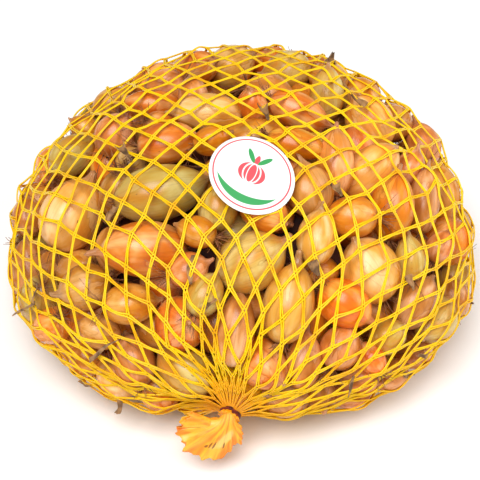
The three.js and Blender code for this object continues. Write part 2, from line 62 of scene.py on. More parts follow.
BMesh = bmesh.types.BMesh
Material = bpy.types.Material
Pair = tuple[float, float]
Piece = bpy.types.Object
Socket = bpy.types.NodeSocket
Triple = tuple[float, float, float]
MM = 0.001
UP = np.array([0.0, 0.0, 1.0])
GOLDEN_TURN = math.pi * (3 - math.sqrt(5))
FULL_TURN = 6.3  # a little over a full turn in radians, for drawn phases
CROWN_TAPER = 0.13  # how much slimmer an onion is at its neck end than a true ellipsoid
ROOT_BALL = 0.84  # size of the balls that stand for an onion's two ends, next to its belly
NECK_BALL = 0.62


class Skin(Enum):
    """The kinds of onion skin that the net shows. Each kind is one piece."""

    CREAM = "cream"
    GOLDEN = "golden"
    ORANGE = "orange"
    RUST = "rust"
    TAN = "tan"
    OLIVE = "olive"
    ROSE = "rose"


def smooth_between(a: Array, b: Array, c: Array, d: Array, t: Array) -> Array:
    """Find values on a smooth curve from b to c.

    Args:
        a: The values before b.
        b: The values at the start.
        c: The values at the end.
        d: The values after c.
        t: 0 at b to 1 at c.

    Returns:
        The values at t.
    """
    bend = (2 * a - 5 * b + 4 * c - d) * t * t + (-a + 3 * b - 3 * c + d) * t * t * t
    return 0.5 * (2 * b + (c - a) * t + bend)


# ---- Sizes and places ----


@dataclass(frozen=True)
class Dome:
    """The outer shape of the filled bag: a low dome with an uneven plan."""

    plan_radii: tuple[float, ...] = (90, 91, 96, 97, 90, 87, 89, 88, 83, 82, 86, 91)
    belt_height: float = 29.0
    top_rise: float = 65.5
    belly_drop: float = 37.0

    @property
    def middle(self) -> Array:
        """Return the middle of the widest level."""
        return np.array([0.0, 0.0, self.belt_height])

    def plan_radius(self, angle: Array) -> Array:
        """Find the plan radius on a smooth closed curve through plan_radii.

        Args:
            angle: Angles from +X towards +Y, in radians.

        Returns:
            The radius at each angle.
        """
        count = len(self.plan_radii)
        radii = np.array(self.plan_radii, float)
        turn = np.mod(angle / (2 * math.pi) * count + count, count)
        corner = np.floor(turn).astype(int)
        t = turn - corner
        return smooth_between(*(radii[(corner + step) % count] for step in (-1, 0, 1, 2)), t)

    def _measures(self, points: Array) -> tuple[Array, Array, Array]:
        """Return plan radius, rise over the belt and the height that applies to it.

        Args:
            points: Points in space.

        Returns:
            The three, one value for each point.
        """
        radius = self.plan_radius(np.arctan2(points[..., 1], points[..., 0]))
        rise = points[..., 2] - self.belt_height
        height = np.where(rise > 0, self.top_rise, self.belly_drop)
        return radius, rise, height

    def level(self, points: Array) -> Array:
        """Tell how far out points lie: 0 in the middle and 1 on the dome.

        Args:
            points: Points in space.

        Returns:
            One value for each point.
        """
        radius, rise, height = self._measures(points)
        out = (points[..., 0] ** 2 + points[..., 1] ** 2) / radius**2
        return np.sqrt(out + rise**2 / height**2)

    def slope(self, points: Array) -> Array:
        """Return the way that the level rises at points, per millimetre.

        Args:
            points: Points in space.

        Returns:
            One vector for each point.
        """
        radius, rise, height = self._measures(points)
        level = np.maximum(self.level(points), 1e-6)
        parts = (points[..., 0] / radius**2, points[..., 1] / radius**2, rise / height**2)
        return np.stack(parts, axis=-1) / level[..., None]

    def point(self, directions: Array, share: float) -> Array:
        """Find where directions from the middle meet the dome at a share of its size.

        Args:
            directions: Directions, of any length.
            share: 1 for the dome itself, less for a smaller one inside it.

        Returns:
            One point for each direction.
        """
        reach = share / self.level(self.middle + directions)
        return self.middle + directions * reach[..., None]


@dataclass(frozen=True)
class View:
    """The view from the front and above in which the large onions are placed."""

    elevation: float = math.radians(43)
    distance: float = 570.0
    points_per_mm: float = 2.55
    picture_middle: Pair = (239.0, 245.0)
    picture_size: float = 480.0
    search_depth: float = 150.0  # how far before and behind the middle a ray is followed
    search_step: float = 0.5

    @property
    def back(self) -> Array:
        """Return the unit direction from the bag to the eye."""
        return np.array([0.0, -math.cos(self.elevation), math.sin(self.elevation)])

    @property
    def up(self) -> Array:
        """Return the unit direction that points up in the picture."""
        return np.array([0.0, math.sin(self.elevation), math.cos(self.elevation)])

    def eye(self, dome: Dome) -> Array:
        """Return the place of the eye."""
        return dome.middle + self.back * self.distance

    def ray(self, dome: Dome, x: float, y: float) -> Array:
        """Return the unit direction from the eye through a picture point.

        Args:
            dome: The bag that is looked at.
            x: Picture points from the left.
            y: Picture points from the top.

        Returns:
            The direction.
        """
        across = (x - self.picture_middle[0]) / self.points_per_mm
        rise = (self.picture_middle[1] - y) / self.points_per_mm
        target = dome.middle + self.up * rise
        target[0] += across
        way = target - self.eye(dome)
        return way / np.linalg.norm(way)

    def under_dome(self, dome: Dome, ray: Array, depth: float) -> Array:
        """Find where a ray first reaches a depth under the dome, or comes nearest to it.

        Args:
            dome: The bag.
            ray: A unit direction from the eye.
            depth: How deep under the dome.

        Returns:
            The place.
        """
        near, past = self.distance - self.search_depth, self.distance + self.search_depth
        far = np.arange(near, past, self.search_step)
        points = self.eye(dome) + far[:, None] * ray
        slope = np.linalg.norm(dome.slope(points), axis=1)
        outside = (dome.level(points) - 1) / slope + depth
        inside = np.nonzero(outside <= 0)[0]
        return points[inside[0]] if len(inside) else points[int(np.argmin(outside))]

    def heading(self, degrees: float, lean: float) -> Array:
        """Return the direction in space of a heading in the picture with a lean to the eye.

        Args:
            degrees: Heading in the picture, 0 to the right and 90 up.
            lean: Lean to the eye in degrees.

        Returns:
            The unit direction.
        """
        turn = math.radians(degrees)
        tip = math.radians(lean)
        flat = self.up * math.sin(turn) + np.array([math.cos(turn), 0.0, 0.0])
        return flat * math.cos(tip) + self.back * math.sin(tip)


@dataclass(frozen=True)
class EndPlace:
    """Where the net is tied at one end, and the way that its tail hangs and opens."""

    side: str
    tie: Triple
    out: Triple
    down: Triple
    across: Triple
    opening: Pair

    @property
    def onward(self) -> Array:
        """Return the unit way out of the bag at the tie."""
        return np.array(self.out) / np.linalg.norm(self.out)


@dataclass(frozen=True)
class LabelSeat:
    """The round label's size and how it lies on the bag."""

    radius: float = 15.0
    thickness: float = 0.6
    middle: Pair = (4.5, -31.0)
    lift: float = 1.5
    slope: Pair = (-0.16, 0.32)
    bend_radius: float = 120.0

    def height(self, dome: Dome, across: Array, back: Array) -> Array:
        """Return the height of the label's underside at a distance from its middle.

        Args:
            dome: The bag.
            across: Distance to the right of the label's middle.
            back: Distance behind it.

        Returns:
            The height.
        """
        toward = np.array([self.middle[0], self.middle[1], dome.top_rise])
        under = dome.point(toward, 1.0)[2]
        sag = (across**2 + back**2) / (2 * self.bend_radius)
        return under + self.lift + self.slope[0] * across + self.slope[1] * back - sag


FRONT = EndPlace("front", (-3.0, -80.0, 22.0), (-0.36, -0.9, -0.22), (0.0, -0.42, -0.91),
                 (0.99, 0.12, 0.0), (-112.0, 70.0))
BACK = EndPlace("back", (9.0, 94.0, 21.0), (0.2, 0.95, -0.2), (0.1, 0.42, -0.9),
                (-0.99, 0.1, 0.0), (-76.0, 64.0))

# Onions that can be told apart from the front: picture point of the middle (x, y), length and
# thickness in mm, heading of the neck in degrees, lean to the viewer in degrees, and skin.
PLACED_ONIONS: tuple[tuple[float, float, float, float, float, float, Skin], ...] = (
    (232, 66, 20, 18.5, 30, 10, Skin.CREAM),
    (288, 72, 20, 16.5, 190, 0, Skin.OLIVE),
    (193, 95, 14, 12, 100, 0, Skin.ROSE),
    (165, 83, 15.5, 11, 190, 0, Skin.ROSE),
    (152, 104, 22, 12, 180, 0, Skin.ORANGE),
    (210, 112, 26.5, 15.5, 178, 0, Skin.CREAM),
    (250, 105, 14, 12, 90, 40, Skin.ORANGE),
    (298, 112, 24, 14.5, 335, 0, Skin.ORANGE),
    (328, 92, 21, 14, 86, 10, Skin.OLIVE),
    (370, 122, 23, 18.5, 124, 0, Skin.CREAM),
    (110, 102, 16.5, 13, 205, 0, Skin.TAN),
    (84, 128, 13, 11, 150, 0, Skin.GOLDEN),
    (115, 135, 17.5, 16.5, 60, 20, Skin.ROSE),
    (168, 143, 23, 16.5, 10, 0, Skin.ORANGE),
    (212, 140, 14.5, 11, 20, 0, Skin.RUST),
    (72, 155, 20, 15.5, 40, 0, Skin.OLIVE),
    (297, 145, 22, 12, 345, 0, Skin.RUST),
    (336, 162, 25, 14.5, 88, 0, Skin.TAN),
    (428, 140, 18.5, 14, 105, 0, Skin.ROSE),
    (370, 170, 26, 17.5, 40, 0, Skin.CREAM),
    (410, 168, 14.5, 12, 60, 0, Skin.ROSE),
    (72, 215, 28.5, 24, 62, 0, Skin.CREAM),
    (160, 193, 34, 21, 12, 0, Skin.OLIVE),
    (310, 190, 20, 17.5, 100, 0, Skin.TAN),
    (27, 218, 16.5, 13, 90, 0, Skin.ROSE),
    (215, 212, 16.5, 14.5, 80, 0, Skin.OLIVE),
    (200, 228, 14.5, 12, 170, 0, Skin.GOLDEN),
    (392, 206, 25, 16.5, 84, 0, Skin.RUST),
    (352, 217, 18.5, 15.5, 180, 0, Skin.GOLDEN),
    (317, 238, 19.5, 14, 84, 0, Skin.CREAM),
    (425, 200, 25, 12, 82, 0, Skin.ROSE),
    (145, 250, 31.5, 21, 180, 0, Skin.ORANGE),
    (252, 263, 26, 22, 28, 0, Skin.OLIVE),
    (368, 273, 25, 22, 115, 15, Skin.CREAM),
    (410, 259, 16.5, 12, 95, 0, Skin.OLIVE),
    (440, 247, 13, 11, 60, 0, Skin.ROSE),
    (28, 272, 25, 14.5, 92, 0, Skin.ROSE),
    (85, 288, 19.5, 17.5, 200, 0, Skin.TAN),
    (130, 304, 19.5, 15.5, 5, 0, Skin.GOLDEN),
    (183, 322, 20, 19.5, 30, 70, Skin.ORANGE),
    (200, 295, 16.5, 13, 60, 0, Skin.OLIVE),
    (190, 272, 14.5, 13, 20, 0, Skin.ROSE),
    (347, 302, 21, 17.5, 325, 0, Skin.RUST),
    (288, 304, 28.5, 19.5, 80, 0, Skin.CREAM),
    (416, 303, 21, 15.5, 62, 0, Skin.ROSE),
    (455, 300, 15.5, 13, 100, 0, Skin.ROSE),
    (238, 332, 26, 14.5, 88, 0, Skin.ROSE),
    (100, 332, 16.5, 13, 160, 0, Skin.TAN),
    (133, 363, 19.5, 15.5, 112, 0, Skin.ROSE),
    (88, 358, 15.5, 13, 60, 0, Skin.TAN),
    (187, 373, 23, 18.5, 142, 0, Skin.OLIVE),
    (340, 346, 16.5, 14.5, 70, 0, Skin.ROSE),
    (385, 340, 14.5, 13, 40, 0, Skin.OLIVE),
    (372, 359, 13, 11, 120, 0, Skin.ORANGE),
    (360, 377, 14.5, 13, 200, 0, Skin.ROSE),
    (392, 378, 14.5, 12, 30, 0, Skin.ROSE),
    (302, 362, 21, 13, 84, 0, Skin.ROSE),
)


class Draws:
    """A repeatable row of numbers from 0 up to 1."""

    def __init__(self, seed: int) -> None:
        """Start the row at a seed."""
        self.state = seed

    def next(self) -> float:
        """Return the next number."""
        self.state = (self.state * 1664525 + 1013904223) % 4294967296
        return self.state / 4294967296

    def between(self, low: float, high: float) -> float:
        """Return the next number, stretched to a range."""
        return low + (high - low) * self.next()

    def pick(self, shares: dict[Skin, float]) -> Skin:
        """Return one of the skins, each as likely as its share.

        Args:
            shares: The skins with their shares.

        Returns:
            The skin.
        """
        left = self.next() * sum(shares.values())
        for skin, share in shares.items():
            left -= share
            if left <= 0:
                return skin
        return skin


# ---- Mesh helpers ----


class Template:
    """A small mesh that is made once and whose moved copies are joined into one piece."""

    def __init__(self, source: BMesh) -> None:
        """Read a bmesh and free it.

        Args:
            source: The small mesh, with unit sizes.
        """
        mesh = bpy.data.meshes.new("template")
        source.to_mesh(mesh)
        source.free()
        self.points = np.empty(len(mesh.vertices) * 3, np.float32)
        mesh.vertices.foreach_get("co", self.points)
        self.points = self.points.reshape(-1, 3).astype(float)
        self.corners = np.empty(len(mesh.loops), np.int32)
        mesh.loops.foreach_get("vertex_index", self.corners)
        self.sizes = np.empty(len(mesh.polygons), np.int32)
        mesh.polygons.foreach_get("loop_total", self.sizes)
        bpy.data.meshes.remove(mesh)


class Stack:
    """Copies of templates that are joined into one mesh, with values on its points."""

    def __init__(self) -> None:
        """Start with no copies."""
        self.points: list[Array] = []
        self.corners: list[Array] = []
        self.sizes: list[Array] = []
        self.values: dict[str, list[Array]] = {}
        self.count = 0

    def add(self, template: Template, points: Array, **values: Array) -> None:
        """Add one copy.

        Args:
            template: The mesh that is copied.
            points: The copy's points in millimetres, in the template's order.
            values: Named vectors, one row for each point.
        """
        self.points.append(points * MM)
        self.corners.append(template.corners + self.count)
        self.sizes.append(template.sizes)
        self.count += len(points)
        for name, rows in values.items():
            self.values.setdefault(name, []).append(rows)

    def piece(self, name: str) -> Piece:
        """Join the copies into one object.

        Args:
            name: The object's name.

        Returns:
            The object.
        """
        mesh = bpy.data.meshes.new(name)
        corners = np.concatenate(self.corners)
        sizes = np.concatenate(self.sizes)
        mesh.vertices.add(self.count)
        mesh.vertices.foreach_set("co", np.concatenate(self.points).ravel())
        mesh.loops.add(len(corners))
        mesh.loops.foreach_set("vertex_index", corners)
        mesh.polygons.add(len(sizes))
        mesh.polygons.foreach_set("loop_start", np.concatenate(([0], np.cumsum(sizes)[:-1])))
        mesh.polygons.foreach_set("loop_total", sizes)
        mesh.update(calc_edges=True)
        for key, rows in self.values.items():
            layer = mesh.attributes.new(key, "FLOAT_VECTOR", "POINT")
            layer.data.foreach_set("vector", np.concatenate(rows).astype(np.float32).ravel())
        return object_of(name, mesh)


def object_of(name: str, mesh: bpy.types.Mesh, smooth: bool = True) -> Piece:
    """Put a mesh in the scene as an object at the origin.

    Args:
        name: The object's name.
        mesh: Its mesh, in metres.
        smooth: Whether its faces are shaded smooth.

    Returns:
        The object.
    """
    mesh.polygons.foreach_set("use_smooth", np.full(len(mesh.polygons), smooth))
    piece = bpy.data.objects.new(name, mesh)
    bpy.context.scene.collection.objects.link(piece)
    return piece


def object_from(name: str, source: BMesh, smooth: bool = True) -> Piece:
    """Make an object from a bmesh in millimetres, with its faces turned outwards.

    Args:
        name: The object's name.
        source: The bmesh, which is freed.
        smooth: Whether its faces are shaded smooth.

    Returns:
        The object.
    """
    bmesh.ops.scale(source, vec=Vector((MM, MM, MM)), verts=source.verts)
    bmesh.ops.recalc_face_normals(source, faces=source.faces)
    mesh = bpy.data.meshes.new(name)
    source.to_mesh(mesh)
    source.free()
    return object_of(name, mesh, smooth)


def points_of(source: BMesh) -> Array:
    """Return a bmesh's points, one a row."""
    return np.array([vert.co for vert in source.verts])


def move_points(source: BMesh, points: Array) -> None:
    """Move a bmesh's points to new places, given in the same order."""
    for vert, point in zip(source.verts, points):
        vert.co = Vector(point)


def thread_piece(name: str, lines: Sequence[Array], radius: float,
                 share: Callable[[int], Array] | None = None,
                 rounds: int = 0) -> Piece:
    """Make round threads along lines, as one mesh.

    Args:
        name: The piece's name.
        lines: Each line's points in millimetres.
        radius: Thread radius in millimetres.
        share: Gives the thickness at a line's points, as a share of the full one.
        rounds: Extra roundness, 0 for four sides.

    Returns:
        The piece.
    """
    curve = bpy.data.curves.new(name + "_line", "CURVE")
    curve.dimensions = "3D"
    curve.bevel_depth = radius * MM
    curve.bevel_resolution = rounds
    curve.use_fill_caps = True
    for line in lines:
        spline = curve.splines.new("POLY")
        spline.points.add(len(line) - 1)
        flat = np.concatenate([line * MM, np.ones((len(line), 1))], axis=1)
        spline.points.foreach_set("co", flat.astype(np.float32).ravel())
        if share is not None:
            spline.points.foreach_set("radius", share(len(line)).astype(np.float32))
    holder = bpy.data.objects.new(name + "_line", curve)
    bpy.context.scene.collection.objects.link(holder)
    graph = bpy.context.evaluated_depsgraph_get()
    mesh = bpy.data.meshes.new_from_object(holder.evaluated_get(graph))
    mesh.name = name
    bpy.data.objects.remove(holder)
    bpy.data.curves.remove(curve)
    return object_of(name, mesh)


def smooth_line(points: Array, steps: int) -> Array:
    """Put extra points on a line, on a smooth curve through its own points.

    Args:
        points: The line's points.
        steps: How many steps replace each step of the line.

    Returns:
        The finer line.
    """
    ends = np.concatenate([points[:1], points, points[-1:]])
    corners = (ends[k: len(ends) - 3 + k, None, :] for k in range(4))
    fine = smooth_between(*corners, (np.arange(steps) / steps)[None, :, None])
    return np.concatenate([fine.reshape(-1, 3), points[-1:]])


def frame_round(axis: Array) -> tuple[Array, Array]:
    """Return two unit directions across an axis.

    Args:
        axis: A unit direction.

    Returns:
        Both directions, square to each other.
    """
    helper = UP if abs(axis[2]) < 0.9 else np.array([1.0, 0.0, 0.0])
    first = np.cross(helper, axis)
    first /= np.linalg.norm(first)
    return first, np.cross(axis, first)


# ---- The heap of onions ----


@dataclass
class Onion:
    """One onion as it lies: its neck points along axis."""

    middle: Array
    axis: Array
    length: float
    thickness: float
    skin: Skin
    press: float = 0.0
    home: Array | None = None
    heading: Array | None = None

    @property
    def half(self) -> float:
        """Return half the length."""
        return self.length / 2

    @property
    def wide(self) -> float:
        """Return half the thickness."""
        return self.thickness / 2


@dataclass(frozen=True)
class FillLayer:
    """An even layer of common onions round the dome."""

    level: float
    count: int
    press: float


@dataclass
class Packing:
    """Places the onions: they grow to full size and push each other apart inside the net."""

    dome: Dome
    view: View
    label: LabelSeat
    ends: tuple[EndPlace, ...] = (FRONT, BACK)
    fill_width: Pair = (13.0, 19.0)
    fill_slimness: Pair = (1.0, 1.5)
    fill_clearance: float = 0.3
    view_clearance: float = 0.35
    fill_seed: int = 20417
    layers: tuple[FillLayer, ...] = (FillLayer(0.91, 285, 0.25), FillLayer(0.72, 120, 0.05))
    steps: int = 110
    start_size: float = 0.55
    push: float = 0.36
    pull: float = 0.3
    tie_room: float = 13.0
    wall_push: float = 0.6
    resting: float = 0.9  # a ball's least height over the ground, as a share of its radius
    growth: float = 1.6  # how much sooner than the last step the onions are full-grown
    swing: float = 0.5  # how readily a push on its ends turns an onion
    farthest: float = 45.0  # onions whose middles are farther apart never touch
    skin_shares: dict[Skin, float] = field(default_factory=lambda: {
        Skin.CREAM: 0.08, Skin.GOLDEN: 0.24, Skin.ORANGE: 0.2, Skin.RUST: 0.03,
        Skin.TAN: 0.22, Skin.OLIVE: 0.12, Skin.ROSE: 0.13,
    })

    def onions(self) -> list[Onion]:
        """Return all the onions where they come to lie.

        Returns:
            The placed ones first, in their own order.
        """
        placed = self._placed()
        onions = placed + self._fill(placed)
        self._settle(onions)
        return onions

    def _placed(self) -> list[Onion]:
        """Return the onions that can be told apart, each on the ray that it shows on.

        Returns:
            One onion for each row of the list.
        """
        placed = []
        for x, y, length, thickness, degrees, lean, skin in PLACED_ONIONS:
            ray = self.view.ray(self.dome, x, y)
            middle = self.view.under_dome(self.dome, ray, thickness / 2)
            axis = self.view.heading(degrees, lean)
            placed.append(Onion(middle, axis, length, thickness, skin, 0.0,
                                middle.copy(), axis.copy()))
        return placed

    @staticmethod
    def _direction(rise: float, turn: float) -> Array:
        """Return the unit direction with a given rise and a given turn from +X."""
        flat = math.sqrt(1 - rise * rise)
        return np.array([flat * math.cos(turn), flat * math.sin(turn), rise])

    @staticmethod
    def _balls(onions: Sequence[Onion], size: float) -> tuple[Array, Array]:
        """Return the three balls that stand for each onion.

        Args:
            onions: The onions.
            size: Their present size as a share of the full one.

        Returns:
            Ball middles, onions by 3 by 3, and ball radii, onions by 3.
        """
        half = np.array([item.half for item in onions])
        wide = np.array([item.wide for item in onions])
        along = np.stack([
            np.minimum(0, ROOT_BALL * wide - half),
            np.zeros(len(onions)),
            np.maximum(0, half - NECK_BALL * wide),
        ], axis=1) * size
        radii = np.stack([ROOT_BALL * wide, wide, NECK_BALL * wide], axis=1) * size
        middles = np.stack([item.middle for item in onions])
        axes = np.stack([item.axis for item in onions])
        return middles[:, None, :] + axes[:, None, :] * along[:, :, None], radii

    def _fill(self, placed: list[Onion]) -> list[Onion]:
        """Return common onions in even layers round the dome, clear of the placed ones.

        Args:
            placed: The onions that can be told apart.

        Returns:
            The common onions.
        """
        draws = Draws(self.fill_seed)
        skins = Draws(self.fill_seed + 1)
        centres, radii = self._balls(placed, 1.0)
        centres = centres.reshape(-1, 3)
        radii = radii.ravel()
        fill = []
        for layer in self.layers:
            for item in range(layer.count):
                thickness = draws.between(*self.fill_width)
                length = thickness * draws.between(*self.fill_slimness)
                rise = 2 * draws.next() - 1
                axis = self._direction(rise, 2 * math.pi * draws.next())
                toward = self._direction(1 - (2 * item + 1) / layer.count, GOLDEN_TURN * item)
                middle = self.dome.point(toward, layer.level)
                middle[2] = max(middle[2], thickness / 2)
                if self._taken(centres, radii, middle, thickness):
                    continue
                skin = skins.pick(self.skin_shares)
                fill.append(Onion(middle, axis, length, thickness, skin, layer.press))
        return fill

    def _taken(self, centres: Array, radii: Array, middle: Array, thickness: float) -> bool:
        """Tell whether a common onion would touch a placed one or hide it from the front.

        Args:
            centres: Ball middles of the placed onions.
            radii: Their radii.
            middle: The common onion's middle.
            thickness: Its thickness.

        Returns:
            True where it would.
        """
        offset = centres - middle
        ray = middle - self.view.eye(self.dome)
        behind = offset @ (ray / np.linalg.norm(ray))
        far = np.linalg.norm(offset, axis=1)
        apart = np.sqrt(np.maximum(far**2 - behind**2, 0))
        hidden = (behind > 0) & (apart < radii + self.view_clearance * thickness)
        return bool((hidden | (far < radii + self.fill_clearance * thickness)).any())

    def _apart(self, centres: Array, radii: Array) -> Array:
        """Return the push on each ball from the balls of other onions.

        Args:
            centres: Ball middles, onions by 3 by 3.
            radii: Ball radii, onions by 3.

        Returns:
            A shift for each ball.
        """
        count = len(centres)
        flat = centres.reshape(-1, 3)
        sizes = radii.ravel()
        owner = np.repeat(np.arange(count), 3)
        near = np.linalg.norm(centres[:, None, 1] - centres[None, :, 1], axis=2) <= self.farthest
        pairs = near[owner][:, owner] & (owner[:, None] < owner[None, :])
        one, other = np.nonzero(pairs)
        offset = flat[one] - flat[other]
        distance = np.linalg.norm(offset, axis=1)
        overlap = sizes[one] + sizes[other] - distance
        touching = (overlap > 0) & (distance > 1e-9)
        one, other = one[touching], other[touching]
        move = offset[touching] * (self.push * overlap[touching] / distance[touching])[:, None]
        push = np.zeros_like(flat)
        np.add.at(push, one, move)
        np.add.at(push, other, -move)
        return push.reshape(centres.shape)

    def _inside(self, centres: Array, radii: Array) -> Array:
        """Return the push on each ball that keeps it in the net and above the ground.

        Args:
            centres: Ball middles, onions by 3 by 3.
            radii: Ball radii, onions by 3.

        Returns:
            A shift for each ball.
        """
        slope = self.dome.slope(centres)
        steep = np.linalg.norm(slope, axis=2)
        outside = np.maximum((self.dome.level(centres) - 1) / steep + radii, 0)
        push = slope * (-self.wall_push * outside / steep)[..., None]
        push[..., 2] += self.wall_push * np.maximum(self.resting * radii - centres[..., 2], 0)
        for end in self.ends:
            offset = np.array(end.tie) - centres
            offset[..., 2] = np.minimum(offset[..., 2], 0)
            distance = np.linalg.norm(offset, axis=2)
            overlap = np.maximum(radii + self.tie_room - distance, 0)
            push += offset * (-self.wall_push * overlap / distance)[..., None]
        across = centres[..., 0] - self.label.middle[0]
        back = centres[..., 1] - self.label.middle[1]
        above = centres[..., 2] + radii - self.label.height(self.dome, across, back)
        under = np.hypot(across, back) < self.label.radius
        push[..., 2] -= np.where(under, self.wall_push * np.maximum(above, 0), 0)
        return push

    def _settle(self, onions: list[Onion]) -> None:
        """Let all onions grow to full size and find room beside each other.

        Args:
            onions: The onions, which are moved.
        """
        for step in range(self.steps):
            grown = min(1.0, self.growth * step / self.steps)
            centres, radii = self._balls(onions, self.start_size + (1 - self.start_size) * grown)
            push = self._apart(centres, radii) + self._inside(centres, radii)
            for item, (root, belly, neck) in zip(onions, push):
                item.middle = item.middle + (root + belly + neck) / 3
                outward = self.dome.slope(item.middle)
                item.middle = item.middle + outward / np.linalg.norm(outward) * item.press
                axis = item.axis + (neck - root) * (self.swing / item.half)
                item.axis = axis / np.linalg.norm(axis)
                if item.home is not None and item.heading is not None:
                    item.middle = item.middle + (item.home - item.middle) * self.pull
                    axis = item.axis + (item.heading - item.axis) * self.pull
                    item.axis = axis / np.linalg.norm(axis)


@dataclass
class OnionModel:
    """Builds the onions: bulb, dried neck and root hairs."""

    dome: Dome
    body_share: float = 0.76  # of a template's rings, from the root to the shoulder
    shoulder: float = 0.905 * math.pi
    outer_level: float = 0.78  # onions beyond it get the fine template
    floor: float = 0.5  # the least height over the ground
    neck_lengths: Pair = (0.08, 0.42)
    neck_sizes: Pair = (0.06, 0.12)
    hair_radius: float = 0.19
    hair_level: float = 0.66  # onions within it have no hairs
    hair_ceiling: float = 1.03
    hair_floor: float = 0.4
    hairless_share: float = 0.06
    hairless_at_tie: float = 38.0
    hair_counts: Pair = (13, 32)
    hair_lengths: Pair = (2.4, 7.5)
    hair_spreads: Pair = (0.3, 1.5)
    seed: int = 611

    @staticmethod
    def template(sides: int, rings: int) -> Template:
        """Make the unit ball that onions are shaped from.

        Args:
            sides: Sides round it.
            rings: Rings from end to end.

        Returns:
            The template.
        """
        ball = bmesh.new()
        bmesh.ops.create_uvsphere(ball, u_segments=sides, v_segments=rings, radius=1.0)
        return Template(ball)

    def outline(self, share: Array, neck: float, neck_size: float) -> tuple[Array, Array]:
        """Return the outline of a bulb.

        Args:
            share: 0 at the root to 1 at the end of the neck.
            neck: Length of the dried neck over half the bulb's length.
            neck_size: Thickness of the neck over that of the bulb.

        Returns:
            Distance along the axis over half the length, and radius over half the thickness.
        """
        turn = np.minimum(share / self.body_share, 1.0) * self.shoulder
        along = -np.cos(turn)
        fullness = 1 - CROWN_TAPER * ((1 + along) / 2) ** 2
        radius = np.sin(turn) * fullness
        top_along = -math.cos(self.shoulder)
        top_fullness = 1 - CROWN_TAPER * ((1 + top_along) / 2) ** 2
        top_radius = math.sin(self.shoulder) * top_fullness
        w = np.clip((share - self.body_share) / (1 - self.body_share), 0, 1)
        neck_along = top_along + (1 - top_along + neck) * w
        ease = (1 - w) ** 2.8
        neck_radius = neck_size + (top_radius - neck_size) * ease
        in_neck = share > self.body_share
        closing = np.where(w > 0.999, 0.0, 1.0)
        return (np.where(in_neck, neck_along, along),
                np.where(in_neck, neck_radius * closing, radius))

    def place(self, item: Onion, template: Template, draws: Draws) -> tuple[Array, Array, Array]:
        """Shape one onion.

        Args:
            item: The onion.
            template: The unit ball that it is shaped from.
            draws: Where its own unevenness comes from.

        Returns:
            Its points, its skin coordinates and its random marks, one row for each point.
        """
        unit = template.points
        share = np.arccos(np.clip(-unit[:, 2], -1, 1)) / math.pi
        turn = np.arctan2(unit[:, 1], unit[:, 0])
        neck = draws.between(*self.neck_lengths)
        neck_size = draws.between(*self.neck_sizes)
        along, radius = self.outline(share, neck, neck_size)
        lobes = 1 + draws.between(0.01, 0.05) * np.cos(2 * turn + draws.between(0, FULL_TURN))
        lobes += draws.between(0.0, 0.025) * np.cos(3 * turn + draws.between(0, FULL_TURN))
        lobes += 0.004 * np.cos(9 * turn + draws.between(0, FULL_TURN)) * np.sin(math.pi * share)
        ridge = 0.1 * np.cos(7 * turn + draws.between(0, FULL_TURN))
        ridge = ridge * np.clip(share - 0.72, 0, 1) * 4
        first, second = frame_round(item.axis)
        lean = draws.between(0, FULL_TURN)
        aside = first * math.cos(lean) + second * math.sin(lean)
        bent = draws.between(0.0, 0.5) * np.clip(along - 0.6, 0, 2) ** 2 * item.half
        out = radius * item.wide * (lobes + ridge)
        points = item.middle + item.axis * (along * item.half)[:, None]
        points = points + first * (out * np.cos(turn))[:, None]
        points = points + second * (out * np.sin(turn))[:, None] + aside * bent[:, None]
        points[:, 2] = np.maximum(points[:, 2], self.floor)
        round_skin = np.stack([np.cos(turn), np.sin(turn), share], axis=1)
        marks = np.array([draws.next(), draws.next(), draws.next()])
        return points, round_skin, np.repeat(marks[None, :], len(points), axis=0)

    def bulbs(self, onions: Sequence[Onion]) -> dict[Skin, Piece]:
        """Build all bulbs, one piece for each kind of skin.

        Args:
            onions: All onions.

        Returns:
            The pieces by skin.
        """
        fine = self.template(30, 24)
        plain = self.template(16, 14)
        stacks = {skin: Stack() for skin in Skin}
        draws = Draws(self.seed)
        for item in onions:
            template = fine if self.dome.level(item.middle) > self.outer_level else plain
            points, skin_place, marks = self.place(item, template, draws)
            stacks[item.skin].add(template, points, skin_place=skin_place, skin_mark=marks)
        return {skin: stack.piece(f"onions_{skin.value}") for skin, stack in stacks.items()}

    def root_hairs(self, onions: Sequence[Onion]) -> Piece:
        """Build the tufts of dry root hairs at the root ends.

        Args:
            onions: All onions.

        Returns:
            The piece.
        """
        draws = Draws(self.seed + 7)
        lines = []
        for item in onions:
            near = min(np.linalg.norm(item.middle - end.tie) for end in (FRONT, BACK))
            inner = self.dome.level(item.middle) < self.hair_level
            if draws.next() < self.hairless_share or inner or near < self.hairless_at_tie:
                continue
            first, second = frame_round(item.axis)
            root = item.middle - item.axis * (item.half * 0.97)
            for _ in range(int(draws.between(*self.hair_counts))):
                turn = draws.between(0, 2 * math.pi)
                side = first * math.cos(turn) + second * math.sin(turn)
                reach = draws.between(*self.hair_lengths)
                spread = draws.between(*self.hair_spreads)
                start = root + side * draws.between(0.2, 1.3)
                curl = (first * draws.between(-1, 1) + second * draws.between(-1, 1)) * reach * 0.4
                steps = np.linspace(0, 1, 5)[:, None]
                line = start + (side * spread - item.axis) * (reach * steps) + curl * steps**2
                line[:, 2] = np.maximum(line[:, 2], self.hair_floor)
                if not (self.dome.level(line) > self.hair_ceiling).any():
                    lines.append(line)
        return thread_piece("root_hairs", lines, self.hair_radius,
                            lambda count: np.linspace(1.0, 0.45, count))


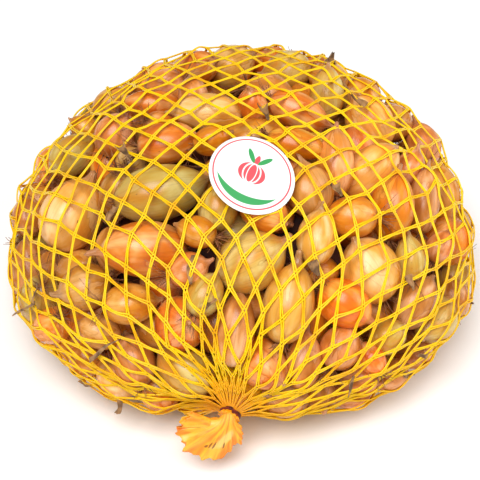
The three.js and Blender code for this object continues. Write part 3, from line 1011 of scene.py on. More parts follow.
@dataclass
class ShadeCore:
    """A dark shell of painted shade: it stands for the shade deep in the heap behind the onions,
    with low bumps.
    """

    dome: Dome
    level: float = 0.66
    bump: float = 0.05
    bump_turns: Triple = (17.0, 19.0, 15.0)
    floor: float = 0.5

    def build(self) -> Piece:
        """Build the core, flat on the ground.

        Returns:
            The piece.
        """
        ball = bmesh.new()
        bmesh.ops.create_icosphere(ball, subdivisions=5, radius=1.0)
        unit = points_of(ball)
        waves = np.sin(unit * self.bump_turns + (0, 1, 0))
        bumps = self.bump * waves[:, 0] * waves[:, 1] * waves[:, 2]
        points = self.dome.point(unit, 1.0)
        points = self.dome.middle + (points - self.dome.middle) * (self.level + bumps)[:, None]
        points[:, 2] = np.maximum(points[:, 2], self.floor)
        move_points(ball, points)
        return object_from("painted_shade_core", ball)


# ---- The net ----


class NetRests:
    """What the net rests on: the onions inside and the ground. The label lies on top of it."""

    outer_level = 0.7  # onions within it never touch the net
    nearest = 5  # how many onions are looked at round each point
    deepest = 0.2  # no point is thrown out by more than from this depth in an onion
    floor = 0.6
    label_reach = 1.0  # how far past its rim the label holds the net down
    label_level = 40.0  # and only above this height

    def __init__(self, dome: Dome, label: LabelSeat, onions: Sequence[Onion],
                 clearance: float) -> None:
        """Keep the outer onions as tapered ellipsoids.

        Args:
            dome: The bag's outer shape.
            label: The label that presses the net down.
            onions: All onions.
            clearance: How far a yarn's middle stays off a skin.
        """
        outer = [item for item in onions if dome.level(item.middle) > self.outer_level]
        self.dome = dome
        self.label = label
        self.middles = np.stack([item.middle for item in outer])
        self.axes = np.stack([item.axis for item in outer])
        self.halves = np.array([item.half for item in outer])
        self.wides = np.array([item.wide for item in outer])
        self.clearance = clearance
        self.near = np.empty((0, self.nearest), int)

    def look(self, points: Array) -> None:
        """Find the onions nearest to each point."""
        distance = np.linalg.norm(points[:, None, :] - self.middles[None, :, :], axis=2)
        self.near = np.argpartition(distance - self.wides, self.nearest, axis=1)[:, :self.nearest]

    def hold(self, points: Array) -> Array:
        """Push points out of their nearest onions, up from the ground and under the label.

        Args:
            points: Points of the net, one a row.

        Returns:
            The points, clear of what the net rests on.
        """
        for pick in self.near.T:
            offset = points - self.middles[pick]
            t = np.sum(offset * self.axes[pick], axis=1)
            across = np.linalg.norm(offset - self.axes[pick] * t[:, None], axis=1)
            half = self.halves[pick] + self.clearance
            taper = 1 - CROWN_TAPER * np.clip((1 + t / half) / 2, 0, 1) ** 2
            wide = self.wides[pick] * taper + self.clearance
            depth = np.sqrt((t / half) ** 2 + (across / wide) ** 2)
            grow = np.where(depth < 1, 1 / np.maximum(depth, self.deepest), 1.0)
            points = self.middles[pick] + offset * grow[:, None]
        across = points[:, 0] - self.label.middle[0]
        back = points[:, 1] - self.label.middle[1]
        ceiling = self.label.height(self.dome, across, back) - self.clearance
        covered = np.hypot(across, back) < self.label.radius + self.label_reach
        covered &= points[:, 2] > self.label_level
        points[:, 2] = np.where(covered, np.minimum(points[:, 2], ceiling), points[:, 2])
        points[:, 2] = np.maximum(points[:, 2], self.floor)
        return points


@dataclass
class Net:
    """The knitted tube: two families of yarns that cross in diamonds, taut over the onions."""

    dome: Dome
    label: LabelSeat
    ends: tuple[EndPlace, EndPlace] = (FRONT, BACK)
    columns: int = 57
    rows: int = 33
    steps: int = 4  # of a yarn between two crossings, while the net is drawn tight
    fine_steps: int = 2  # of the finished yarn in each of those
    slant: float = 0.66  # half a cell's width over a yarn's length, on top
    bunching: float = 1.1  # how much closer the yarns run at the sides and below
    rings: tuple[float, ...] = (2.6, 7.0, 13.0, 20.0)  # the first crossings' distance from the axis
    set_back: tuple[float, ...] = (0.0, 7.5, 14.0, 20.0)  # and from the tie
    hold_shares: tuple[float, ...] = (1.0, 0.8, 0.4, 0.15)
    thread_radius: float = 0.35
    thread_offset: float = 0.29
    eyelet: float = 0.3
    eyelet_share: float = 0.13  # of a cell
    weave: float = 0.05
    unevenness: float = 1.15  # how far a crossing may lie off its even place
    tighten: int = 60
    look_again: int = 12  # tightening steps between two looks for the nearest onions
    clearance: float = 0.5
    slack: float = 0.5  # how far a point moves to the middle of its neighbours in one step
    wander: float = 0.07
    end_cells: float = 1.5  # the threads run together over this many cells
    end_gap: float = 0.25
    level: float = 0.995  # of the even net, next to the dome
    floor: float = 0.6
    thinnest: float = 0.55  # a thread's thickness at the ties
    thinning: float = 0.16  # what it gains with each cell
    seed: int = 90

    def _polar_angles(self) -> Array:
        """Return each row's angle from the front tie, for yarns of one length.

        Returns:
            One angle for each row of crossings, in radians.
        """
        share = np.linspace(0, 1, 400)
        spacing = np.sqrt(1 - (self.slant * np.sin(math.pi * share)) ** 2)
        travel = np.concatenate([[0], np.cumsum(1 / spacing[:-1])])
        angles = math.pi * np.interp(np.linspace(0, travel[-1], self.rows + 1), travel, share)
        return np.clip(angles, 0.02, math.pi - 0.02)

    def _crossings(self) -> Array:
        """Return the crossings before the net is drawn tight, rows by columns.

        Returns:
            The crossings, rows by columns by 3.
        """
        poles = [np.array(end.tie) - self.dome.middle for end in self.ends]
        poles = [pole / np.linalg.norm(pole) for pole in poles]
        around = np.linspace(0, 2 * math.pi, 361)
        circle = np.stack([np.cos(around), np.zeros(361), np.sin(around)], axis=1)
        crossings = np.empty((self.rows + 1, self.columns, 3))
        for row, angle in enumerate(self._polar_angles()):
            pole = poles[0] if angle < math.pi / 2 else poles[1]
            toward = circle * math.sin(angle) + pole * abs(math.cos(angle))
            ring = self.dome.point(toward, self.level)
            ring[:, 2] = np.maximum(ring[:, 2], self.floor)
            low = np.clip((0.55 - np.sin(around[:-1])) / 0.7, 0, 1)
            closer = 1 + self.bunching * low * low * (3 - 2 * low)
            steps = np.linalg.norm(np.diff(ring, axis=0), axis=1) * closer
            length = np.concatenate([[0], np.cumsum(steps)])
            share = (np.arange(self.columns) + 0.5 * (row % 2)) / self.columns
            place = np.mod(length[90] + share * length[-1], length[-1])
            crossings[row] = np.stack([np.interp(place, length, ring[:, k]) for k in range(3)], 1)
        return self._gather(crossings)

    def _gather(self, crossings: Array) -> Array:
        """Draw the first and last rows in to the ties.

        Args:
            crossings: The crossings, which are moved.

        Returns:
            The same crossings.
        """
        for end, order in ((self.ends[0], (0, 1, 2, 3)), (self.ends[1], (-1, -2, -3, -4))):
            onward = end.onward
            first, second = frame_round(onward)
            tie = np.array(end.tie)
            for depth, row in enumerate(order):
                offset = (crossings[row] - tie) @ np.stack([first, second], axis=1)
                turn = np.arctan2(offset[:, 1], offset[:, 0])[:, None]
                goal = tie + (first * np.cos(turn) + second * np.sin(turn)) * self.rings[depth]
                goal = goal - onward * self.set_back[depth]
                crossings[row] += (goal - crossings[row]) * self.hold_shares[depth]
        return crossings

    def _paths(self) -> list[list[int]]:
        """Return the numbers of the points that each yarn runs through, family by family.

        Returns:
            Each yarn's point numbers. The crossings come first, then those between them.
        """
        paths = []
        spare = (self.rows + 1) * self.columns
        for family in range(2):
            for start in range(self.columns):
                column = start
                path = [column]
                for row in range(self.rows):
                    column = (column + (row % 2) - family) % self.columns
                    path.extend(range(spare, spare + self.steps - 1))
                    path.append((row + 1) * self.columns + column)
                    spare += self.steps - 1
                paths.append(path)
        return paths

    def _spread(self, values: Array, paths: list[list[int]]) -> None:
        """Give the points between two crossings even steps from the one's value to the other's.

        Args:
            values: One row for each point. Those of the crossings are set.
            paths: The points that each yarn runs through.
        """
        share = np.linspace(0, 1, self.steps + 1)[1:-1, None]
        for path in paths:
            for corner in range(0, len(path) - 1, self.steps):
                low, high = values[path[corner]], values[path[corner + self.steps]]
                values[path[corner + 1: corner + self.steps]] = low + (high - low) * share

    def _tight_points(self, paths: list[list[int]], onions: Sequence[Onion]) -> Array:
        """Draw the net tight over the onions, with its ends held by the ties.

        Args:
            paths: The points that each yarn runs through.
            onions: The onions inside.

        Returns:
            All points of the net.
        """
        crossings = self._crossings().reshape(-1, 3)
        points = np.zeros((max(map(max, paths)) + 1, 3))
        points[: len(crossings)] = crossings
        self._spread(points, paths)
        table = np.array(paths)
        before, at, after = (table[:, k: table.shape[1] - 2 + k].ravel() for k in range(3))
        weight = 2.0 * np.bincount(at, minlength=len(points))
        free = weight > 0
        rests = NetRests(self.dome, self.label, onions, self.clearance)
        for turn in range(self.tighten):
            if turn % self.look_again == 0:
                rests.look(points)
            total = np.zeros_like(points)
            np.add.at(total, at, points[before] + points[after])
            drawn = points.copy()
            drawn[free] += self.slack * (total[free] / weight[free, None] - points[free])
            points = np.where(free[:, None], rests.hold(drawn), points)
        return rests.hold(points + self._unevenness(paths, len(points), len(crossings)))

    def _unevenness(self, paths: list[list[int]], count: int, crossings: int) -> Array:
        """Return small shifts of the crossings, with the points between them following.

        Args:
            paths: The points that each yarn runs through.
            count: Number of points.
            crossings: Number of crossings.

        Returns:
            A shift for each point.
        """
        draws = Draws(self.seed + 4)
        shift = np.zeros((count, 3))
        rows = np.arange(crossings) // self.columns
        loose = (rows > 3) & (rows < self.rows - 3)
        random = np.array([[draws.between(-1, 1) for _ in range(3)] for _ in range(crossings)])
        shift[:crossings] = random * self.unevenness * loose[:, None]
        self._spread(shift, paths)
        return shift

    def _threads(self, line: Array, draws: Draws) -> Iterator[Array]:
        """Split a yarn in its two threads, which part at the crossings.

        Args:
            line: The middle line of the yarn.
            draws: Where its unevenness comes from.

        Yields:
            The middle line of each thread.
        """
        outward = self.dome.slope(line)
        along = np.gradient(line, axis=0)
        side = np.cross(along, outward)
        side /= np.linalg.norm(side, axis=1)[:, None] + 1e-12
        cell = np.arange(len(line)) / (self.steps * self.fine_steps)
        from_crossing = np.abs(cell - np.round(cell))
        gap = self.thread_offset + self.eyelet * np.exp(-((from_crossing / self.eyelet_share) ** 2))
        gap = gap - self.weave * np.cos(2 * math.pi * 2 * cell)
        ends = np.clip(np.minimum(cell, cell[-1] - cell) / self.end_cells, self.end_gap, 1)
        wander = self.wander * np.sin(cell * 5.1 + draws.between(0, FULL_TURN))
        for sign in (-1, 1):
            yield line + side * ((sign * gap + wander) * ends)[:, None]

    def build(self, onions: Sequence[Onion]) -> list[Piece]:
        """Build the net over the onions.

        Args:
            onions: The onions that it lies on.

        Returns:
            Two pieces for each of the two families of yarns.
        """
        paths = self._paths()
        points = self._tight_points(paths, onions)
        draws = Draws(self.seed)
        pieces = []
        names = ("net_right_front", "net_right_back", "net_left_front", "net_left_back")
        quarters = np.array_split(np.arange(len(paths)), 4)
        for name, numbers in zip(names, quarters):
            threads: list[Array] = []
            for number in numbers:
                line = smooth_line(points[paths[number]], self.fine_steps)
                threads.extend(self._threads(line, draws))
            pieces.append(thread_piece(name, threads, self.thread_radius, self._thickness))
        return pieces

    def _thickness(self, count: int) -> Array:
        """Return a thread's thickness along its length: it is drawn thin near the ties.

        Args:
            count: Number of the thread's points.

        Returns:
            Shares of the full thickness.
        """
        cell = np.arange(count) / (self.steps * self.fine_steps)
        from_tie = np.minimum(cell, cell[-1] - cell)
        return np.clip(self.thinnest + from_tie * self.thinning, self.thinnest, 1.0)


# ---- The tied ends ----


@dataclass
class TiedEnd:
    """One end of the net: the gathered neck, the tie and the tail that hangs from it."""

    place: EndPlace
    dome: Dome
    neck_length: float = 12.0
    neck_radii: Pair = (10.6, 3.0)
    neck_flare: float = 1.6
    neck_pleats: int = 19
    drum_sides: int = 114
    drum_cuts: int = 7
    tie_radius: float = 4.0
    tie_width: float = 3.6
    tie_waist: float = 0.22
    cord_radius: float = 0.42
    cord_turns: float = 2.2
    cord_steps: int = 28  # in one turn
    tail_reaches: tuple[float, ...] = (15, 18, 19.6, 18.2, 19.6, 17, 16.8, 15.6, 13.6, 10.6, 11.4,
                                       10.4, 8.4, 7.5)
    tail_bend: float = 2.0
    tail_radii: Pair = (3.3, 2.2)
    tail_wall: float = 0.25
    tail_folds: int = 5
    tail_cells: tuple[int, int] = (180, 22)
    gap: float = 0.3

    def _aimed(self, points: Array) -> Array:
        """Turn points made along +Z so that they point out of the bag from the tie.

        Args:
            points: Points, one a row.

        Returns:
            The turned and moved points.
        """
        onward = self.place.onward
        first, second = frame_round(onward)
        frame = np.stack([first, second, onward])
        return np.array(self.place.tie) + points @ frame

    def _drum(self, name: str, start: float, long: float,
              shape: Callable[[Array, Array], Array]) -> Piece:
        """Make a closed drum whose wall is shaped by a rule, aimed out of the bag.

        Args:
            name: The end of the piece's name, after the side.
            start: Where the drum's far end lies on its axis, from the tie's middle.
            long: The drum's length along its axis.
            shape: Gives the radius from the share of the length and the turn.

        Returns:
            The piece.
        """
        drum = bmesh.new()
        bmesh.ops.create_cone(drum, cap_ends=True, cap_tris=True, segments=self.drum_sides,
                              radius1=1, radius2=1, depth=1)
        upright = [edge for edge in drum.edges
                   if abs(edge.verts[0].co.z - edge.verts[1].co.z) > 0.5]
        bmesh.ops.subdivide_edges(drum, edges=upright, cuts=self.drum_cuts)
        unit = points_of(drum)
        share = unit[:, 2] + 0.5
        turn = np.arctan2(unit[:, 1], unit[:, 0])
        on_wall = np.hypot(unit[:, 0], unit[:, 1]) > 0.5
        radius = np.where(on_wall, shape(share, turn), 0)
        axial = (share - 1) * long + start
        points = np.stack([radius * np.cos(turn), radius * np.sin(turn), axial], axis=1)
        move_points(drum, self._aimed(points))
        return object_from(f"{self.place.side}_{name}", drum)

    def _neck_radius(self, share: Array, turn: Array) -> Array:
        """Give the pleated neck's radius.

        Args:
            share: Share of the neck's length, from the bag to the tie.
            turn: Turn round it.

        Returns:
            The radius.
        """
        flare = self.neck_radii[1] + np.ptp(self.neck_radii) * (1 - share) ** self.neck_flare
        fine = 0.06 * np.cos(self.neck_pleats * turn) + 0.04 * np.cos(7 * turn + 4 * share)
        return flare * (1 + fine)

    def _tie_radius(self, share: Array, turn: Array) -> Array:
        """Return the radius of the bound part of the net, which has a waist."""
        waist = 1 - self.tie_waist * np.sin(math.pi * share)
        return self.tie_radius * waist * (1 + 0.07 * np.cos(13 * turn + 2 * share))

    def neck(self) -> Piece:
        """Build the cone of yarns that run together."""
        start = -(self.tie_width / 2 + self.gap)
        return self._drum("neck_yarns", start, self.neck_length + start, self._neck_radius)

    def tie(self) -> list[Piece]:
        """Build the bound part of the net and the cord round it.

        Returns:
            The bound part and the cord.
        """
        bundle = self._drum("tie_bundle", self.tie_width / 2, self.tie_width, self._tie_radius)
        turns = np.linspace(0, self.cord_turns, int(self.cord_turns * self.cord_steps))
        turn = 2 * math.pi * turns
        radius = self.tie_radius * (1 - self.tie_waist) + self.cord_radius
        radius = radius * (1 + 0.03 * np.sin(5 * turn))
        rise = (turns / self.cord_turns - 0.5) * self.cord_radius * 2 * self.cord_turns
        line = np.stack([radius * np.cos(turn), radius * np.sin(turn), rise], axis=1)
        cord = thread_piece(f"{self.place.side}_tie_cord", [self._aimed(line)],
                            self.cord_radius, rounds=2)
        return [bundle, cord]

    def _tail_points(self, share: Array, turn: Array) -> tuple[Array, Array]:
        """Lay the tail: a flattened tube of film that bends down and opens to a ragged fan.

        Args:
            share: 0 at the tie to 1 at the ragged edge.
            turn: Turn round the tube, 0 and pi at the two sides of the fan.

        Returns:
            The points, and how far each stands out on a fold.
        """
        down = np.array(self.place.down) / np.linalg.norm(self.place.down)
        side = np.array(self.place.across) / np.linalg.norm(self.place.across)
        onward = self.place.onward
        low, high = map(math.radians, self.place.opening)
        opened = (1 - np.cos(turn)) / 2
        angle = low + (high - low) * opened
        steps = np.arange(len(self.tail_reaches))
        far = np.interp(opened * steps[-1], steps, self.tail_reaches)
        ragged = 0.035 * np.sin(23 * turn + 1) + 0.03 * np.sin(41 * turn)
        reach = share * far * (1 + ragged * share**4)
        straight = np.exp(-reach / self.tail_bend)[:, None]
        ahead = self.tail_bend * (1 - straight)
        root = self.tail_radii[0] * (1 - share)
        back = np.where(np.sin(turn) < 0, 1.0, 0.0)
        folds = 0.42 * np.sin(2 * self.tail_folds * math.pi * opened + 0.8 * share + 2 * back)
        folds += 0.2 * np.sin(15 * math.pi * opened + 2.5 * share + back)
        folds += 0.12 * np.sin(31 * math.pi * opened - 3 * share) * np.sin(5 * share + back)
        folds = folds * share * (1.2 - share * 0.3)
        deep = root + self.tail_radii[1] * share
        way = down * np.cos(angle)[:, None] + side * np.sin(angle)[:, None]
        points = np.array(self.place.tie) + onward * (self.tie_width / 2) + onward * ahead
        points = points + way * (reach[:, None] - ahead) - side * (root * np.cos(turn))[:, None]
        thick = np.cross(way + (onward - way) * straight, side)
        thick /= np.linalg.norm(thick, axis=1)[:, None]
        return points + thick * (deep * np.sin(turn) + folds)[:, None], folds

    def tail(self) -> Piece:
        """Build the spread tail: a thin folded film with a ragged edge.

        Returns:
            The piece. Its fold_place attribute says where on the film a point is.
        """
        sheet = bmesh.new()
        around, along = self.tail_cells
        bmesh.ops.create_grid(sheet, x_segments=around, y_segments=along, size=0.5)
        unit = points_of(sheet)
        turn = 2 * math.pi * (unit[:, 0] + 0.5)
        share = unit[:, 1] + 0.5
        points, folds = self._tail_points(share, turn)
        move_points(sheet, points)
        layer = sheet.verts.layers.float_vector.new("fold_place")
        for vert, turned, far, depth in zip(sheet.verts, turn, share, folds):
            vert[layer] = Vector((0.5 - 0.5 * math.cos(turned), far, depth))
        bmesh.ops.remove_doubles(sheet, verts=sheet.verts, dist=0.001)
        bmesh.ops.recalc_face_normals(sheet, faces=sheet.faces)
        self._line(sheet, layer)
        return object_from(f"{self.place.side}_tail_skirt", sheet)

    def _line(self, sheet: BMesh, layer: bmesh.types.BMLayerItem) -> None:
        """Give a tube of film its thickness: an inner face, joined to it at both ends.

        Args:
            sheet: The film, which gets its lining.
            layer: Where the place on the film is kept.
        """
        sheet.normal_update()
        inward = {vert: vert.normal * -self.tail_wall for vert in sheet.verts}
        copy = bmesh.ops.duplicate(sheet, geom=sheet.verts[:] + sheet.edges[:] + sheet.faces[:])
        for vert, shift in inward.items():
            copy["vert_map"][vert].co += shift
        bmesh.ops.reverse_faces(sheet, faces=[face for face in copy["geom"]
                                              if isinstance(face, bmesh.types.BMFace)])
        for near, far in ((-0.01, 0.01), (0.99, 1.01)):
            rim = [edge for edge in sheet.edges
                   if edge.is_boundary and near < edge.verts[0][layer].y < far]
            bmesh.ops.bridge_loops(sheet, edges=rim)


# ---- The label ----


@dataclass
class Label:
    """The round paper label on top of the net."""

    seat: LabelSeat
    dome: Dome
    sides: int = 96
    rings: int = 12

    def build(self) -> Piece:
        """Build the bent disc. Its label_place attribute gives the place on its print.

        Returns:
            The piece.
        """
        disc = bmesh.new()
        radius, high = self.seat.radius, self.seat.thickness
        edge = [(radius * step / self.rings, high) for step in range(self.rings)]
        edge += [(radius - 0.1, high), (radius, high - 0.15), (radius, 0.15), (radius - 0.1, 0)]
        edge += [(radius * step / self.rings, 0) for step in reversed(range(self.rings))]
        verts = [disc.verts.new((out, 0, up)) for out, up in edge]
        lines = [disc.edges.new(pair) for pair in zip(verts, verts[1:])]
        bmesh.ops.spin(disc, geom=verts + lines, cent=(0, 0, 0), axis=(0, 0, 1),
                       angle=2 * math.pi, steps=self.sides, use_merge=True)
        bmesh.ops.remove_doubles(disc, verts=disc.verts, dist=0.001)
        layer = disc.verts.layers.float_vector.new("label_place")
        for vert in disc.verts:
            across, back, up = vert.co
            vert[layer] = Vector((across / radius, back / radius, up))
            lift = float(self.seat.height(self.dome, np.array(across), np.array(back)))
            vert.co = Vector((self.seat.middle[0] + across, self.seat.middle[1] + back, lift + up))
        return object_from("round_label", disc)


# ---- Dried leaf ends and loose skin ----


@dataclass(frozen=True)
class LeafPlace:
    """A dried leaf or a loose skin that shows: picture points of both ends and its width."""

    base: Pair
    end: Pair
    width: float
    curl: float
    proud: float = 0.0


LEAVES: tuple[LeafPlace, ...] = tuple(LeafPlace(*row) for row in (
    ((328, 70), (333, 53), 4.2, 0.9),
    ((362, 108), (343, 84), 3.4, 0.7),
    ((43, 283), (39, 304), 3.2, 0.3, 2.6),
    ((41, 301), (18, 315), 3.2, 0.4, 2.4),
    ((124, 397), (116, 413), 9.0, 0.25, 0.4),
    ((94, 354), (126, 335), 4.4, 0.2, 2.4),
    ((466, 300), (474, 304), 3.0, 0.5),
    ((352, 374), (346, 396), 3.6, 0.3, 0.9),
    ((417, 355), (427, 354), 4.0, 0.4, 0.8),
    ((402, 371), (412, 373), 3.4, 0.4, 0.8),
    ((80, 380), (92, 386), 3.4, 0.4, 0.5),
    ((262, 108), (268, 121), 4.4, 0.7, 0.6),
    ((193, 255), (190, 284), 4.0, 0.4, 0.3),
    ((310, 262), (318, 276), 4.0, 0.8, 0.4),
    ((118, 208), (108, 221), 4.8, 0.8, 0.4),
    ((333, 186), (341, 197), 4.0, 0.8, 0.4),
    ((405, 276), (413, 290), 3.8, 0.8, 0.4),
    ((122, 148), (132, 162), 5.0, 0.8, 0.4),
    ((213, 296), (205, 309), 4.2, 0.8, 0.4),
))


@dataclass
class Leaves:
    """Dried leaf ends and loose skins: thin curled strips."""

    dome: Dome
    view: View
    places: tuple[LeafPlace, ...] = LEAVES
    thickness: float = 0.25
    seed: int = 77

    def build(self) -> Piece:
        """Build all of them as one piece.

        Returns:
            The piece.
        """
        joined = bmesh.new()
        draws = Draws(self.seed)
        for place in self.places:
            self._strip(joined, place, draws)
        return object_from("dried_leaves", joined)

    def _strip(self, joined: BMesh, place: LeafPlace, draws: Draws) -> None:
        """Add one strip to a bmesh.

        Args:
            joined: The bmesh.
            place: Where the strip lies.
            draws: Where its unevenness comes from.
        """
        low = self.view.under_dome(self.dome, self.view.ray(self.dome, *place.base), 1.5)
        high = self.view.under_dome(self.dome, self.view.ray(self.dome, *place.end), 0.0)
        outward = self.dome.slope(low)
        outward /= np.linalg.norm(outward)
        side = np.cross(high - low, outward)
        side /= np.linalg.norm(side)
        made = bmesh.ops.create_grid(joined, x_segments=8, y_segments=18, size=0.5)["verts"]
        phase = draws.between(0, FULL_TURN)
        for vert in made:
            u, v = vert.co.x * 2, vert.co.y + 0.5
            broad = place.width / 2 * (1 - 0.75 * v**1.5) * (0.75 + 0.25 * math.sin(3 * v + phase))
            roll = place.curl * 2.2 * u + 0.5 * math.sin(5 * v + phase)
            rise = place.proud + broad * (1 - math.cos(roll)) + 0.3 * math.sin(7 * v + phase)
            point = low + (high - low) * v + side * (broad * math.sin(roll)) + outward * rise
            vert.co = Vector(point)
        faces = list({face for vert in made for face in vert.link_faces})
        bmesh.ops.recalc_face_normals(joined, faces=faces)
        bmesh.ops.solidify(joined, geom=faces, thickness=self.thickness)


# ---- Finishes ----

Colour = Triple
Inputs = dict[str | int, object]


def paint(red: int, green: int, blue: int) -> Colour:
    """Return a colour that is given as it looks on a screen, from 0 to 255.

    Args:
        red: Its red.
        green: Its green.
        blue: Its blue.

    Returns:
        The same colour as light, from 0 to 1.
    """
    def linear(part: int) -> float:
        """Return one part of the colour as light."""
        share = part / 255
        return share / 12.92 if share <= 0.04045 else ((share + 0.055) / 1.055) ** 2.4
    return linear(red), linear(green), linear(blue)


class Graph:
    """Short ways to add nodes to a node tree and to join them."""

    def __init__(self, tree: bpy.types.NodeTree) -> None:
        """Keep the tree."""
        self.tree = tree

    def node(self, kind: str, inputs: Inputs | None = None, **settings: object) -> bpy.types.Node:
        """Add a node.

        Args:
            kind: Its type without the leading word Shader.
            inputs: What goes into its sockets.
            settings: Its properties.

        Returns:
            The node.
        """
        made = self.tree.nodes.new("Shader" + kind)
        for key, value in settings.items():
            setattr(made, key, value)
        self.fill(made, inputs or {})
        return made

    def fill(self, node: bpy.types.Node, inputs: Inputs) -> None:
        """Join or set several sockets of a node, given by name or number."""
        for key, value in inputs.items():
            self.put(node.inputs[key], value)

    def put(self, socket: Socket, value: object) -> None:
        """Join a socket to a socket, or set it to a number, a vector or a colour.

        Args:
            socket: The socket.
            value: What goes in.
        """
        if isinstance(value, Socket):
            self.tree.links.new(value, socket)
        elif isinstance(value, tuple) and socket.type == "RGBA":
            socket.default_value = (*value, 1.0)
        else:
            socket.default_value = value

    def math(self, operation: str, *values: object) -> Socket:
        """Add a sum, a product or another operation on numbers."""
        return self.node("NodeMath", dict(enumerate(values)), operation=operation).outputs[0]

    def vector(self, operation: str, *values: object) -> Socket:
        """Add an operation on vectors and return its vector."""
        made = self.node("NodeVectorMath", dict(enumerate(values)), operation=operation)
        return made.outputs["Vector"]

    def length(self, value: object) -> Socket:
        """Return the length of a vector."""
        return self.node("NodeVectorMath", {0: value}, operation="LENGTH").outputs["Value"]

    def attribute(self, name: str) -> Socket:
        """Return a vector that is kept on the piece's points."""
        made = self.node("NodeAttribute", attribute_type="GEOMETRY", attribute_name=name)
        return made.outputs["Vector"]

    def place(self) -> Socket:
        """Return the place on the object."""
        return self.node("NodeTexCoord").outputs["Object"]

    def split(self, value: object) -> tuple[Socket, ...]:
        """Return the three parts of a vector."""
        return tuple(self.node("NodeSeparateXYZ", {0: value}).outputs)

    def join(self, *parts: object) -> Socket:
        """Return a vector made of up to three parts."""
        return self.node("NodeCombineXYZ", dict(enumerate(parts))).outputs[0]

    def noise(self, where: object, scale: float, detail: float = 2.0,
              distortion: float = 0.0) -> Socket:
        """Return a noise from about 0 to 1."""
        inputs = {"Vector": where, "Scale": scale, "Detail": detail, "Distortion": distortion}
        return self.node("NodeTexNoise", inputs).outputs["Fac"]

    def ramp(self, value: object, low: float, high: float, smooth: bool = True,
             to: Pair = (0.0, 1.0)) -> Socket:
        """Return a value that goes from one number to another as the given one rises.

        Args:
            value: The value.
            low: Where the ramp starts.
            high: Where it ends, which may be lower.
            smooth: Whether it is eased.
            to: The numbers before and after it.

        Returns:
            The result.
        """
        inputs = {"Value": value, "From Min": low, "From Max": high, "To Min": to[0],
                  "To Max": to[1]}
        kind = "SMOOTHSTEP" if smooth else "LINEAR"
        made = self.node("NodeMapRange", inputs, interpolation_type=kind, clamp=True)
        return made.outputs["Result"]

    def mix(self, share: object, first: object, second: object) -> Socket:
        """Mix two colours. The node has a set of sockets for each type of value."""
        return self.node("NodeMix", {0: share, 6: first, 7: second}, data_type="RGBA").outputs[2]

    def tint(self, colour: object, mask: object, amount: object,
             other: object) -> Socket:
        """Lay another colour over a colour where a mask is set."""
        return self.mix(self.math("MULTIPLY", mask, amount), colour, other)

    def bump(self, height: object, strength: float, distance: float) -> Socket:
        """Return a normal for a relief whose depth is given in metres."""
        inputs = {"Height": height, "Strength": strength, "Distance": distance}
        return self.node("NodeBump", inputs).outputs["Normal"]


class SkinMarks:
    """The node group with the marks that every dry onion skin has."""

    name = "dry_skin_marks"
    outputs = ("Veins", "Fibres", "Blotches", "Peeled", "Peel Edge", "Specks", "Root", "Neck",
               "Own", "Height")

    @classmethod
    def tree(cls) -> bpy.types.NodeTree:
        """Return the group, built the first time that it is asked for.

        Returns:
            The node group.
        """
        if cls.name in bpy.data.node_groups:
            return bpy.data.node_groups[cls.name]
        tree = bpy.data.node_groups.new(cls.name, "ShaderNodeTree")
        for name in ("Place", "Mark"):
            tree.interface.new_socket(name, in_out="INPUT", socket_type="NodeSocketVector")
        for name in cls.outputs:
            tree.interface.new_socket(name, in_out="OUTPUT", socket_type="NodeSocketFloat")
        graph = Graph(tree)
        entry = tree.nodes.new("NodeGroupInput")
        leave = tree.nodes.new("NodeGroupOutput")
        shift = graph.vector("MULTIPLY", entry.outputs["Mark"], (37.0, 53.0, 71.0))

        def stretched(around: float, along: float) -> Socket:
            """Return the place on the skin with its own scale round and along the onion."""
            scaled = graph.vector("MULTIPLY", entry.outputs["Place"], (around, around, along))
            return graph.vector("ADD", scaled, shift)

        share = graph.split(entry.outputs["Place"])[2]
        own = graph.split(entry.outputs["Mark"])[1]
        veins = graph.ramp(graph.noise(stretched(9.0, 1.4), 1.0, 3.0, 0.4), 0.5, 0.75)
        fibres = graph.noise(stretched(26.0, 3.0), 1.0, 2.0)
        blotches = graph.noise(stretched(1.2, 3.4), 1.0, 3.0, 0.3)
        peel = graph.noise(stretched(0.8, 2.2), 1.0, 3.0, 0.5)
        peeled = graph.ramp(peel, 0.6, 0.61)
        edge = graph.math("SUBTRACT", graph.ramp(peel, 0.58, 0.6), peeled)
        specks = graph.ramp(graph.noise(stretched(9.0, 22.0), 1.0, 3.0), 0.66, 0.74)
        spread = graph.ramp(graph.noise(stretched(1.4, 1.8), 1.0, 1.0), 0.5, 0.62)
        specks = graph.math("MULTIPLY", specks, spread)
        relief = graph.math("MULTIPLY", veins, 0.35)
        relief = graph.math("MULTIPLY_ADD", fibres, 0.3, relief)
        relief = graph.math("MULTIPLY_ADD", peeled, -0.6, relief)
        results = {
            "Veins": veins, "Fibres": fibres, "Blotches": blotches, "Peeled": peeled,
            "Peel Edge": edge, "Specks": specks, "Root": graph.ramp(share, 0.16, 0.03),
            "Neck": graph.ramp(share, 0.62, 0.86), "Own": own, "Height": relief,
        }
        graph.fill(leave, results)
        return tree


class Finish:
    """What all finishes share: a material with its shader."""

    @staticmethod
    def start(name: str) -> tuple[Material, Graph, bpy.types.Node]:
        """Return a new material, its graph and its shader.

        Args:
            name: The material's name.

        Returns:
            The three of them.
        """
        material = bpy.data.materials.new(name)
        material.use_nodes = True
        shader = material.node_tree.nodes["Principled BSDF"]
        return material, Graph(material.node_tree), shader


